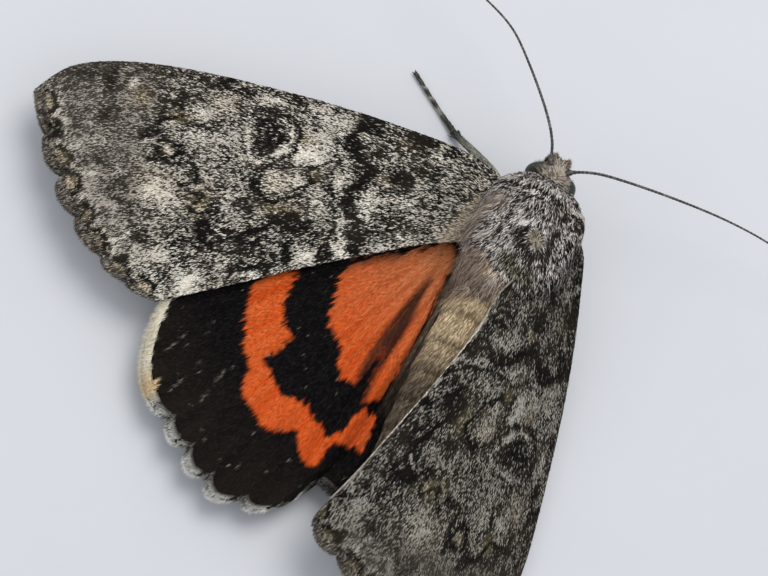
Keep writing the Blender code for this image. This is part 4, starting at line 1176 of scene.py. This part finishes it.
class MothBody(bpy.types.PropertyGroup):
    fur_length: FloatProperty(name="Fur length", description="Length of the thorax scales in millimetres",
                              default=0.52, min=0.2, max=4.0)
    fur_width: FloatProperty(name="Fur width", description="Width of one vane in millimetres",
                             default=0.092, min=0.03, max=0.6)
    fur_depth: FloatProperty(name="Fur depth", default=0.32, min=0.1, max=1.0,
                             description="How far the skin lies inside the coat, in millimetres")
    antenna_radius: FloatProperty(name="Antenna radius", default=0.125, min=0.05, max=0.3,
                                  description="Radius of an antenna's base in millimetres")


class MothStage(bpy.types.PropertyGroup):
    floor_colour: FloatVectorProperty(name="Floor", description="Colour of the floor", subtype="COLOR",
                                      size=3, default=(0.638, 0.639, 0.648), min=0.0, max=1.0)
    key_power: FloatProperty(name="Key light", description="Power of the large soft light", default=1.38,
                             min=0.0, max=50.0, unit="POWER")


def dress_wing(kind, side, grid, skin, faces, scales, band, fringe):
    """Membrane, scales and fringe of one wing, in the place of its CAD node."""
    name = f"{kind}_{side}"
    membrane = wing_skin(f"{name}_skin", grid, *faces, skin)
    settle(membrane, kind, name)
    settle(grow(f"{name}_scales", membrane, **scales), kind)
    settle(grow(f"{name}_fringe", band, **fringe), kind)
    bpy.data.objects.remove(band)


class MOTH_OT_forewings(bpy.types.Operator):
    """Bark-patterned forewings: membranes, scales and fringes"""
    bl_idname = "moth.forewings"
    bl_label = "Forewings"

    def execute(self, context):
        wings = context.scene.moth_wings
        skin = skin_material("forewing membrane", MEMBRANE_GRAIN)
        coat = coat_material("forewing scales", 0.7, 0.08)
        scales = dict(material=coat, spacing=wings.scale_spacing, length=wings.scale_length,
                      width=wings.scale_width, thickness=VANE_THICKNESS, lift=0.10, spread=0.3,
                      unevenness=0.22, sharpness=6.0, seed=wings.seed)
        fringe = dict(material=coat, spacing=0.06, length=0.46, width=0.10, thickness=VANE_THICKNESS,
                      lift=0.0, spread=0.2, unevenness=0.25, seed=wings.seed + 3)
        # the right wing is the folded one, painted darker as painted shade
        for side, at, folded_shade in (("left", forewing_left_sheet(), 0.0), ("right", forewing_right_sheet(), 1.0)):
            grid = wing_grid(at, FOREWING_EDGE, FOREWING_GRID, wings.membrane, wings.vein_height)
            band = fringe_band(at, FOREWING_EDGE, FOREWING_FRINGE_STEPS, forewing_fringe,
                               forewing_fringe_reach)
            dress_wing("forewing", side, grid, skin, forewing_faces(grid, folded_shade), scales, band, fringe)
        return {"FINISHED"}


class MOTH_OT_hindwings(bpy.types.Operator):
    """Orange and black hindwings: membranes, scales and cream fringes"""
    bl_idname = "moth.hindwings"
    bl_label = "Hindwings"

    def execute(self, context):
        wings = context.scene.moth_wings
        skin = skin_material("hindwing membrane", MEMBRANE_GRAIN)
        scales = dict(material=coat_material("hindwing scales", 0.75, 0.06), length=wings.scale_length * 1.4,
                      width=wings.scale_width, thickness=VANE_THICKNESS, lift=0.05, spread=0.10,
                      unevenness=0.06, sharpness=1.1, seed=wings.seed + 11)
        fringe = dict(material=coat_material("hindwing fringe", 0.7, 0.2), spacing=0.045, length=0.66,
                      width=0.10, thickness=VANE_THICKNESS, lift=0.02, spread=0.34, unevenness=0.2,
                      seed=wings.seed + 13)
        for side, at, spacing in (("left", hindwing_left_sheet(), wings.scale_spacing),
                                  ("right", hindwing_right_sheet(), wings.scale_spacing * 1.3)):
            grid = wing_grid(at, HINDWING_EDGE, HINDWING_GRID, wings.membrane, wings.vein_height)
            band = fringe_band(at, HINDWING_EDGE, HINDWING_FRINGE_STEPS, hindwing_fringe,
                               hindwing_fringe_reach)
            dress_wing("hindwing", side, grid, skin, hindwing_faces(grid), dict(scales, spacing=spacing),
                       band, fringe)
        return {"FINISHED"}


def merged_copy(name, nodes, grow_by):
    """Copies of CAD nodes as one object, their loose triangles merged and their points moved out."""
    whole = bmesh.new()
    for node in nodes:
        part = bmesh.new()
        part.from_mesh(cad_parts[node].data)
        bmesh.ops.remove_doubles(part, verts=part.verts, dist=1e-6)
        bmesh.ops.recalc_face_normals(part, faces=part.faces)
        part.normal_update()
        for vertex in part.verts:
            vertex.co += vertex.normal * grow_by
        mesh = bpy.data.meshes.new("part")
        part.to_mesh(mesh)
        part.free()
        whole.from_mesh(mesh)
        bpy.data.meshes.remove(mesh)
    mesh = bpy.data.meshes.new(name)
    whole.to_mesh(mesh)
    whole.free()
    return place_object(name, mesh)


def fused_skin(name, nodes, close_gap, voxel, inset, smoothing):
    """One skin over several CAD nodes, with their gaps closed, drawn in by the coat's depth at each point."""
    obj = merged_copy(name, nodes, close_gap * MM)
    remesh = obj.modifiers.new("remesh", "REMESH")
    remesh.mode = "VOXEL"
    remesh.voxel_size = voxel * MM
    soften = obj.modifiers.new("soften", "SMOOTH")
    soften.factor = 0.5
    soften.iterations = smoothing
    apply_modifiers(obj)
    fix_outside(obj)
    co, normal = mesh_points(obj.data)
    depth = (close_gap + inset(from_frame(co))) * MM
    co = co - normal * depth[:, None]
    obj.data.vertices.foreach_set("co", co.astype(np.float32).ravel())
    obj.data.update()
    obj.data.shade_smooth()
    return obj


def wrap_uv(mesh, p, low_y, high_y):
    """An unwrap round the body's long axis, with its seam below."""
    corner = read_values(mesh.loops, "vertex_index", kind=np.int32)
    starts = read_values(mesh.polygons, "loop_start", kind=np.int32)
    sizes = read_values(mesh.polygons, "loop_total", kind=np.int32)
    # the axis sinks along the abdomen
    centre_z = 5.6 - 0.11 * np.clip(-9 - p[:, 1], 0, 20)
    u = (np.arctan2(p[:, 0], p[:, 2] - centre_z) / (2 * math.pi) + 0.5)[corner]
    first = np.repeat(u[starts], sizes)
    u = np.where(u - first > 0.5, u - 1, np.where(first - u > 0.5, u + 1, u))
    v = ((p[:, 1] - low_y) / (high_y - low_y))[corner]
    uv = np.stack([np.clip(u, 0, 1) * 0.98 + 0.01, v * 0.98 + 0.01], -1)
    layer = mesh.uv_layers.new(name="UVMap")
    layer.data.foreach_set("uv", uv.astype(np.float32).ravel())


def over_skin(way, normal):
    """The directions, laid flat on the skin."""
    return unit(way - normal * (way * normal).sum(-1, keepdims=True))


class BodyCoat:
    """Markings and lie of the coat at each point of the body's skin, laid on one region after another."""

    def __init__(self, p, normal):
        self.p, self.normal = p, normal
        self.x, self.y, self.z = x, y, z = p.T
        self.top = smooth_step((z - 6.3) / 1.5)
        self.mottle = 0.45 * cloud(x, y, 0.55, 41) + 0.55 * cloud(x * 1.6, y * 0.8, 0.22, 42)
        self.ground = blend(BLACK, (0.050, 0.036, 0.026), np.clip(1.6 * cloud3(p, 1.4, 43) - 0.4, 0, 1))
        self.fleck = blend((0.60, 0.50, 0.43), (1.0, 0.91, 0.83), np.clip(2.2 * self.mottle - 0.4, 0, 1))
        self.share = 0.37 + 0.6 * (self.mottle - 0.5)
        self.reach = np.ones_like(x)
        self.rise = np.full_like(x, 0.05)
        self.wild = np.ones_like(x)

    def turn(self, mask, **layers):
        """Turns the named layers to the given values where the mask is 1."""
        for name, value in layers.items():
            old = getattr(self, name)
            if name in ("ground", "fleck"):
                setattr(self, name, blend(old, value, mask))
            else:
                setattr(self, name, old * (1 - mask) + value * mask)

    def drawn(self, points, width):
        return stroke(points, self.x, self.y, width)

    def collar(self):
        """Short scales that lie every way, with a pale rim and a dark line behind it."""
        x, y = self.x, self.y
        collar = smooth_step((y - 0.75 + 0.05 * x * x) / 0.3) * (y < 3.2)
        line = np.exp(-((y - 0.45 + 0.06 * x * x) / 0.22) ** 2) * self.top
        rim = np.exp(-((y - 0.95 + 0.06 * x * x) / 0.25) ** 2) * self.top
        self.share = self.share - 0.4 * line + 0.28 * rim
        self.reach = self.reach * (1 - 0.35 * collar)
        self.wild = self.wild + 1.8 * collar
        self.rise = self.rise + 0.12 * collar

    def shoulders(self):
        """The right one darker, both with a dark inner edge and pale beside it, and greyer low down."""
        self.share = self.share - 0.14 * smooth_step((self.x - 2.2) / 1.6) * self.top
        for side in (LEFT, RIGHT):
            route = ((side * 2.1, 0.0), (side * 2.1, -2.0), (side * 2.0, -3.8), (side * 2.3, -5.4))
            edge = self.drawn(route, 0.2) * self.top
            beside = self.drawn([(a + side * 0.5, b) for a, b in route], 0.25) * self.top
            self.share = self.share + 0.1 * beside - 0.28 * edge
        pale_side = self.drawn(((-1.6, -3.6), (-1.9, -4.8), (-1.7, -5.9)), 0.55) * self.top
        self.share = self.share + 0.1 * pale_side
        self.fleck = blend(self.fleck, (0.30, 0.27, 0.22), 0.7 * smooth_step((5.9 - self.z) / 1.6))

    def crest(self):
        """A buff tuft on the back in a dark ring, with white streaks at its left."""
        away = self.from_crest()
        heart = smooth_step((0.8 - away) / 0.3) * self.top * (0.55 + 0.6 * self.mottle)
        ring = np.exp(-((away - CREST_RING_RADIUS) / 0.24) ** 2) * self.top
        ring = ring * smooth_step(1.4 - (self.y - CREST_RING[1]))
        streak = self.drawn(((0.0, -2.6), (-0.5, -2.8), (-0.9, -3.3)), 0.24)
        streak = np.maximum(streak, 0.6 * self.drawn(((-1.3, -4.9), (-0.9, -5.5), (-0.3, -5.9)), 0.22))
        streak = streak * self.top * smooth_step(3.0 * self.mottle - 0.7)
        self.turn(heart, share=0.5, fleck=(0.50, 0.45, 0.33), ground=(0.12, 0.10, 0.062))
        self.share = self.share - 0.6 * ring + 0.8 * streak
        self.turn(streak, fleck=(1.0, 0.96, 0.90))
        self.rise = self.rise + 0.15 * heart + 0.15 * streak
        self.reach = self.reach * (1 - 0.4 * heart)

    def from_crest(self):
        return np.hypot(self.x - CREST_RING[0], self.y - CREST_RING[1])

    def dark_tufts(self):
        """Dark tufts at the rear of the thorax, a pale line, and painted shade in the hollow before the
        folded wing.
        """
        tuft = self.drawn(((-0.8, -6.5), (0.6, -7.0), (1.9, -7.0)), 0.6) * self.top * (0.5 + self.mottle)
        self.turn(tuft, ground=(0.03, 0.026, 0.012))
        self.turn(0.7 * tuft, fleck=(0.38, 0.33, 0.20))
        line = self.drawn(((-0.2, -7.7), (1.2, -7.9), (2.3, -7.8)), 0.25)
        # painted shade in the hollow between the thorax and the folded wing
        hollow_shade = self.drawn(((0.6, -8.3), (1.8, -8.1), (3.2, -7.6)), 0.5)
        self.share = self.share + 0.35 * line - 0.22 * tuft - 0.45 * hollow_shade

    def wing_flap(self):
        """Soft buff flap over the root of the spread wing, with white hairs along its end."""
        flap = self.drawn(((-3.5, -2.2), (-4.1, -3.6), (-4.5, -5.4), (-4.7, -6.6)), 0.62)
        self.turn(flap, ground=(0.24, 0.185, 0.14), fleck=(0.62, 0.52, 0.42), share=0.5)
        tip = self.drawn(((-2.4, -4.9), (-3.2, -5.5), (-3.9, -6.0)), 0.3)
        self.turn(tip, fleck=(0.85, 0.75, 0.63))
        self.share = self.share + 0.15 * tip
        self.reach = self.reach + 0.5 * np.maximum(flap, tip)

    def rear_hair(self):
        """Beige grey hair behind the dark scales, with one pale tuft."""
        x, y = self.x, self.y
        border = np.interp(x, *np.transpose(REAR_OF_DARK_SCALES)) - 0.25 * (cloud(x, y, 0.4, 44) - 0.5)
        rear = smooth_step((border - y) / 0.35) * (y > -11.3)
        pale = blend((0.62, 0.49, 0.365), (0.90, 0.80, 0.70), spot(x, y, -0.7, -8.5, 0.45, 0.4))
        self.turn(rear, ground=(0.16, 0.11, 0.075), fleck=pale, share=0.5 + 0.6 * (self.mottle - 0.5))
        self.reach = self.reach + 0.4 * rear

    def abdomen(self):
        """Smooth olive buff, darker at each segment's edge, with painted shade towards the tip, which has a
        short tuft.
        """
        y = self.y
        belly = smooth_step((-y - 9.6) / 0.9)
        segment = ((ABDOMEN_FRONT - y) / SEGMENT_LENGTH) % 1.0
        edge = np.exp(-((segment - 0.93) / 0.10) ** 2) + np.exp(-((segment + 0.07) / 0.10) ** 2)
        before = np.exp(-((segment - 0.62) / 0.16) ** 2)
        # painted shade between the wings, darkening the rear of the abdomen towards its tip
        shade_towards_tip = smooth_step((-y - 12.5) / 6.5)
        self.turn(belly, ground=blend((0.31, 0.22, 0.12), (0.055, 0.039, 0.026), shade_towards_tip),
                  fleck=blend((0.80, 0.62, 0.39), (0.20, 0.15, 0.10), shade_towards_tip),
                  share=0.45 + 0.5 * (self.mottle - 0.5) - 0.2 * edge + 0.15 * before,
                  reach=0.9 + 1.1 * smooth_step((-y - 25.6) / 1.8), rise=-0.08, wild=0.6)
        self.turn(0.4 * edge * belly, ground=(0.05, 0.037, 0.023))

    def head(self):
        """Beige tuft, dark grey green at its sides, with a dark brow and greyer palps."""
        x, y, z = self.x, self.y, self.z
        head = smooth_step((y - 2.2 - 0.03 * x * x) / 0.25)
        sides = smooth_step((np.abs(x - 0.15) - 0.95) / 0.4)
        self.turn(head, ground=blend((0.20, 0.155, 0.11), (0.022, 0.024, 0.017), sides),
                  fleck=blend((0.62, 0.53, 0.43), (0.15, 0.145, 0.11), sides),
                  share=0.6 - 0.25 * sides + 0.9 * (cloud3(self.p, 0.35, 46) - 0.5),
                  reach=0.7 + 0.9 * sides * smooth_step((z - 5.6) / 0.6),
                  rise=0.12 + 0.4 * smooth_step((z - 6.2) / 0.8), wild=1.6)
        palps = head * smooth_step((y - 4.55) / 0.4) * smooth_step((6.3 - z) / 0.8)
        flank = palps * smooth_step((np.abs(x) - 0.75) / 0.3)
        tips = palps * smooth_step((z - 5.0) / 0.5)
        # darker along the midline between the two palps
        palp_parting = palps * np.exp(-(x / 0.16) ** 2)
        brow = head * np.exp(-((z - 6.1) / 0.35) ** 2) * smooth_step((y - 4.0) / 0.4)
        self.turn(np.clip(0.35 * palps + 0.6 * flank + 0.6 * brow + palp_parting, 0, 1), ground=(0.035, 0.029, 0.022))
        self.turn(0.4 * palps + 0.6 * flank, fleck=(0.47, 0.41, 0.34))
        self.share = self.share - 0.22 * (palps - palps * tips) - 0.2 * flank - 0.35 * brow - 0.3 * palp_parting
        self.share = self.share + 0.12 * tips
        return head

    def lie(self, head):
        """Back along the body and a little down its sides, but outwards on the crest and from the crown."""
        x, y, z = self.x, self.y, self.z
        flat = np.zeros_like(x)
        lie = over_skin(np.stack([0.204 * x, flat - 1, flat], -1), self.normal)
        swirl = 0.8 * np.exp(-(self.from_crest() / 1.3) ** 2) * self.top
        round_ring = np.stack([x - CREST_RING[0], y - CREST_RING[1], flat + 0.3], -1)
        lie = unit(blend(lie, over_skin(round_ring, self.normal), swirl))
        crown = head * smooth_step((z - 5.2) / 0.8)
        radial = np.stack([1.4 * (x - 0.1), y - 2.6, flat + 0.4], -1)
        return unit(blend(lie, over_skin(radial, self.normal), crown))

    def layers(self):
        """What paint_mesh takes, from all regions."""
        for region in (self.collar, self.crest, self.shoulders, self.dark_tufts, self.wing_flap,
                       self.rear_hair, self.abdomen):
            region()
        lie = self.lie(self.head())
        share = np.clip(self.share, 0.03, 1.0)
        return self.ground, self.fleck, share, lie, self.reach, np.ones_like(share), self.rise, self.wild


def long_hair_places(p):
    """Where the long soft hair grows: behind the thorax, at the wing roots and under the thorax."""
    x, y, z = p.T
    border = np.interp(x, *np.transpose(REAR_OF_DARK_SCALES))
    rear = smooth_step((border + 0.5 - y) / 0.8) * smooth_step((y + 10.6) / 0.8)
    # none under the folded wing
    rear = rear * smooth_step((0.3 - x + 1.2 * smooth_step(y + 8.6)) / 0.5)
    roots = np.exp(-((np.abs(x) - 4.3) / 0.9) ** 2 - ((y + 4.6) / 1.9) ** 2) * (z > 5.0)
    below = 0.5 * smooth_step((4.6 - z) / 0.8) * (y > -9.5) * (y < 0.5)
    return np.clip(np.maximum(np.maximum(rear, roots), below), 0, 1)


class MOTH_OT_body(bpy.types.Operator):
    """Head, thorax and abdomen under one skin, with their fur"""
    bl_idname = "moth.body"
    bl_label = "Body and fur"

    def execute(self, context):
        body = context.scene.moth_body

        def inset(p):
            """Depth of the coat: shallower on the head."""
            return body.fur_depth - (body.fur_depth - HEAD_FUR_DEPTH) * smooth_step((p[:, 1] - 1.9) / 0.7)

        skin = fused_skin("body_skin", BODY_NODES, close_gap=0.2, voxel=0.15, inset=inset, smoothing=5)
        co, normal = mesh_points(skin.data)
        p = from_frame(co)
        wrap_uv(skin.data, p, BODY_REAR, BODY_FRONT)
        paint_mesh(skin.data, *BodyCoat(p, normal).layers())
        skin.data.materials.append(skin_material("body skin", 4000.0))
        fur = coat_material("body fur", 0.65, 0.12)
        for name, cover, sizes in self.coats(p, body.fur_length, body.fur_width):
            skin.data.attributes["cover"].data.foreach_set("value", np.asarray(cover, np.float32))
            settle(grow(name, skin, fur, **sizes), name.split("_")[0])
        settle(skin, "thorax", *BODY_NODES)
        return {"FINISHED"}

    def coats(self, p, length, width):
        """Name, place and sizes of each coat over the body's skin."""
        x, y = p[:, 0], p[:, 1]
        vane = dict(thickness=width * 0.3, unevenness=0.25, sharpness=7.0)
        return (
            ("thorax_scales", (y > -10.8) & (y < 2.5) & ((x < 0.2) | (y > -9.0)), dict(
                vane, spacing=0.064, length=length, width=width, lift=0.15, spread=0.36, seed=31)),
            ("thorax_hair", long_hair_places(p), dict(
                hair=True, spacing=0.19, length=length * 2.6, width=width * 0.7, thickness=width * 0.6,
                lift=0.16, spread=0.22, unevenness=0.2, seed=32)),
            ("abdomen_scales", y <= -10.2, dict(
                vane, spacing=0.085, length=length * 1.3, width=width * 1.2, lift=0.14, spread=0.2,
                unevenness=0.16, sharpness=3.0, seed=33)),
            ("head_scales", y >= 2.0, dict(
                vane, spacing=0.058, length=length, width=width, lift=0.2, spread=0.3, seed=34)),
        )


class MOTH_OT_eyes(bpy.types.Operator):
    """Round compound eyes with fine facets"""
    bl_idname = "moth.eyes"
    bl_label = "Eyes"

    def execute(self, context):
        material = eye_material()
        for name, side in (("eye_left", LEFT), ("eye_right", RIGHT)):
            work = bmesh.new()
            bmesh.ops.create_uvsphere(work, u_segments=48, v_segments=32, radius=1.0)
            centre = to_frame(vec(*HEAD_CENTRE) + vec(side, 1, 1) * vec(*EYE_OFFSET))
            for vertex in work.verts:
                vertex.co = Vector(centre + np.array(vertex.co) * vec(*EYE_SHAPE) * EYE_RADIUS * MM)
            mesh = bpy.data.meshes.new(name + "_ball")
            work.to_mesh(mesh)
            work.free()
            mesh.shade_smooth()
            mesh.materials.append(material)
            settle(place_object(name + "_ball", mesh), "eye", name)
        return {"FINISHED"}


def ringed_tube(name, points, radii, sides):
    """A closed tube of many rings through the points, in millimetres."""
    pts = np.array(points, float)
    way = unit(np.gradient(pts, axis=0))
    side = unit(np.cross(way[0], vec(0, 0, 1)))
    turn = 2 * math.pi * np.arange(sides)[:, None] / sides
    rows = []
    for p, d, radius in zip(pts, way, radii):
        side = unit(side - d * (side @ d))
        rows.append(p + radius * (np.cos(turn) * side + np.sin(turn) * np.cross(side, d)))
    count = len(rows)
    index = np.arange(count * sides).reshape(count, sides)
    after = np.roll(index, -1, axis=1)
    walls = np.stack([index[:-1], index[1:], after[1:], after[:-1]], -1).reshape(-1, 4)
    start, end = count * sides, count * sides + 1
    caps = [(a, b, tip) for row, tip in ((0, start), (-1, end)) for a, b in zip(index[row], after[row])]
    ends = [pts[0] - way[0] * radii[0] * 0.5, pts[-1] + way[-1] * radii[-1]]
    mesh = bpy.data.meshes.new(name)
    mesh.from_pydata(to_frame([*np.concatenate(rows), *ends]).tolist(), [], [*walls.tolist(), *caps])
    mesh.update()
    obj = place_object(name, mesh)
    fix_outside(obj)
    mesh.shade_smooth()
    return obj


class MOTH_OT_antennae(bpy.types.Operator):
    """Thin ringed antennae on a thicker first joint"""
    bl_idname = "moth.antennae"
    bl_label = "Antennae"

    def execute(self, context):
        radius = context.scene.moth_body.antenna_radius
        material = antenna_material()
        along = np.linspace(0, 1, ANTENNA_STEPS)
        rings = 1 + 0.12 * np.cos(along * 2 * math.pi * ANTENNA_RINGS)
        first_joint = 1 + 1.1 * np.exp(-((along - 0.035) / 0.018) ** 2)
        radii = (radius - ANTENNA_TAPER * along**1.3) * rings * first_joint
        for name, side, route in (("antenna_left", LEFT, ANTENNA_LEFT),
                                  ("antenna_right", RIGHT, ANTENNA_RIGHT)):
            base = vec(*HEAD_CENTRE) + vec(side, 1, 1) * vec(*ANTENNA_BASE)
            run = curve_through([base - vec(side * 0.1, 0.5, 0.5), base, *route])
            thread = ringed_tube(name + "_thread", run(along), radii, ANTENNA_SIDES)
            thread.data.materials.append(material)
            settle(thread, "antenna", name)
        return {"FINISHED"}


def leg_paint(p, normal, foot, tarsus):
    """Dark and pale bands along the foot, soft mottling above it, and scales that lie towards its end."""
    from_foot = np.hypot(p[:, 0] - foot[0], p[:, 1] - foot[1]) / tarsus
    pale = np.zeros(len(p))
    for joint, half in PALE_BANDS:
        pale = np.maximum(pale, np.exp(-((1 - joint - from_foot) * tarsus / half) ** 4))
    above = smooth_step((from_foot - 1.0) * 8)
    pale = np.maximum(pale, above * np.clip(1.5 * cloud3(p, 0.8, 51) - 0.1, 0, 1))
    ground = blend((0.032, 0.031, 0.025), (0.31, 0.29, 0.22), pale)
    fleck = blend((0.14, 0.135, 0.105), (0.60, 0.57, 0.47), pale)
    lie = over_skin(vec(*foot, 0.3) - p, normal)
    ones = np.ones(len(p))
    return ground, fleck, 0.3 + 0.4 * pale, lie, ones, ones * (p[:, 2] > BARE_SOLE), 0 * ones


class MOTH_OT_legs(bpy.types.Operator):
    """Legs with short scales in dark and pale bands"""
    bl_idname = "moth.legs"
    bl_label = "Legs"

    def execute(self, context):
        finish, coat = skin_material("leg skin", 4500.0), coat_material("leg scales", 0.6, 0.35)
        for name, foot in LEG_FEET.items():
            skin = merged_copy(name + "_skin", [name], -LEG_COAT_DEPTH * MM)
            finer = skin.modifiers.new("finer", "SUBSURF")
            finer.levels = finer.render_levels = 1
            apply_modifiers(skin)
            co, normal = mesh_points(skin.data)
            p = from_frame(co)
            wrap_uv(skin.data, p, p[:, 1].min() - 0.1, p[:, 1].max() + 0.1)
            tarsus = TARSUS_LENGTHS[name.split("_")[0]]
            paint_mesh(skin.data, *leg_paint(p, normal, foot, tarsus))
            skin.data.shade_smooth()
            skin.data.materials.append(finish)
            scales = grow(name + "_scales", skin, coat, spacing=0.10, length=0.36, width=0.10,
                          thickness=VANE_THICKNESS, lift=0.08, spread=0.3, unevenness=0.2, seed=61)
            settle(skin, "leg", name)
            settle(scales, "leg")
        return {"FINISHED"}


def camera_axes():
    """Right, up and back of the photo's camera, and where it stands, in the moth's frame."""
    azimuth, elevation, roll = (math.radians(a) for a in (CAMERA_AZIMUTH, CAMERA_ELEVATION, CAMERA_ROLL))
    back = vec(math.sin(azimuth) * math.cos(elevation), -math.cos(azimuth) * math.cos(elevation),
               math.sin(elevation))
    level = vec(math.cos(azimuth), math.sin(azimuth), 0)
    steep = np.cross(back, level)
    right = math.cos(roll) * level + math.sin(roll) * steep
    up = -math.sin(roll) * level + math.cos(roll) * steep
    off = (vec(*CAMERA_TARGET_PIXEL) - vec(*PHOTO_SIZE) / 2) * CAMERA_MM_PER_PIXEL
    eye = vec(*CAMERA_TARGET) + back * CAMERA_DISTANCE - right * off[0] + up * off[1]
    return right, up, back, eye


class MOTH_OT_stage(bpy.types.Operator):
    """Pale floor, soft light and the camera of the photo"""
    bl_idname = "moth.stage"
    bl_label = "Floor, light and camera"

    def execute(self, context):
        stage = context.scene.moth_stage
        right, up, back, eye = camera_axes()
        self.floor(stage)
        self.lights(context, stage, right, up, back)
        data = bpy.data.cameras.new("photo camera")
        data.sensor_width = 36.0
        data.lens = CAMERA_DISTANCE / CAMERA_MM_PER_PIXEL * data.sensor_width / PHOTO_SIZE[0]
        data.clip_start = 0.01
        data.clip_end = 10.0
        camera = place_object("photo camera", data)
        place = Matrix.Identity(4)
        for column, axis in enumerate((right, up, back)):
            for row in range(3):
                place[row][column] = axis[row]
        place.translation = Vector(to_frame(eye))
        camera.matrix_world = place
        context.scene.camera = camera
        context.scene.view_settings.view_transform = "Standard"
        return {"FINISHED"}

    def floor(self, stage):
        mesh = bpy.data.meshes.new("floor")
        half = FLOOR_HALF_WIDTH
        mesh.from_pydata([(-half, -half, 0), (half, -half, 0), (half, half, 0), (-half, half, 0)], [],
                         [(0, 1, 2, 3)])
        mesh.materials.append(floor_material(stage.floor_colour))
        place_object("floor", mesh)

    def lights(self, context, stage, right, up, back):
        """A large soft light from above the picture's top right, a weaker one from its left, and the sky."""
        target = Vector(to_frame(LIGHT_TARGET))
        for name, way, distance, size, power, colour in (
                ("key", right * 0.55 + up * 0.75 + back * 0.9, 0.55, 0.42, stage.key_power,
                 (1.0, 0.985, 0.96)),
                ("fill", right * -0.9 + up * 0.1 + back * 0.8, 0.7, 0.6, stage.key_power * 0.35,
                 (0.93, 0.96, 1.0))):
            data = bpy.data.lights.new(name, "AREA")
            data.shape = "DISK"
            data.size = size
            data.energy = power
            data.color = colour
            lamp = place_object(name, data)
            way = Vector(unit(way))
            lamp.location = target + way * distance
            lamp.rotation_euler = way.to_track_quat("Z", "Y").to_euler()
        world = bpy.data.worlds.new("soft sky")
        world.use_nodes = True
        sky = world.node_tree.nodes["Background"]
        sky.inputs["Color"].default_value = (0.86, 0.91, 1.0, 1)
        sky.inputs["Strength"].default_value = 0.80
        context.scene.world = world


class MOTH_PT_panel(bpy.types.Panel):
    """Lists the moth's pieces and their sizes"""
    bl_idname = "MOTH_PT_panel"
    bl_label = "Underwing moth"
    bl_space_type = "VIEW_3D"
    bl_region_type = "UI"
    bl_category = "Moth"

    def draw(self, context):
        for group in (context.scene.moth_wings, context.scene.moth_body, context.scene.moth_stage):
            box = self.layout.box()
            for key in group.__annotations__:
                box.prop(group, key)
        for operator in OPERATORS:
            self.layout.operator(operator.bl_idname)


GROUPS = {"moth_wings": MothWings, "moth_body": MothBody, "moth_stage": MothStage}
OPERATORS = (MOTH_OT_stage, MOTH_OT_forewings, MOTH_OT_hindwings, MOTH_OT_body, MOTH_OT_eyes,
             MOTH_OT_antennae, MOTH_OT_legs)


def register():
    for cls in (*GROUPS.values(), *OPERATORS, MOTH_PT_panel):
        bpy.utils.register_class(cls)
    for name, cls in GROUPS.items():
        setattr(bpy.types.Scene, name, PointerProperty(type=cls))


def unregister():
    for name in GROUPS:
        delattr(bpy.types.Scene, name)
    for cls in reversed((*GROUPS.values(), *OPERATORS, MOTH_PT_panel)):
        bpy.utils.unregister_class(cls)


def main():
    register()
    for operator in OPERATORS:
        group, call = operator.bl_idname.split(".")
        getattr(getattr(bpy.ops, group), call)()


if __name__ == "__main__":
    main()
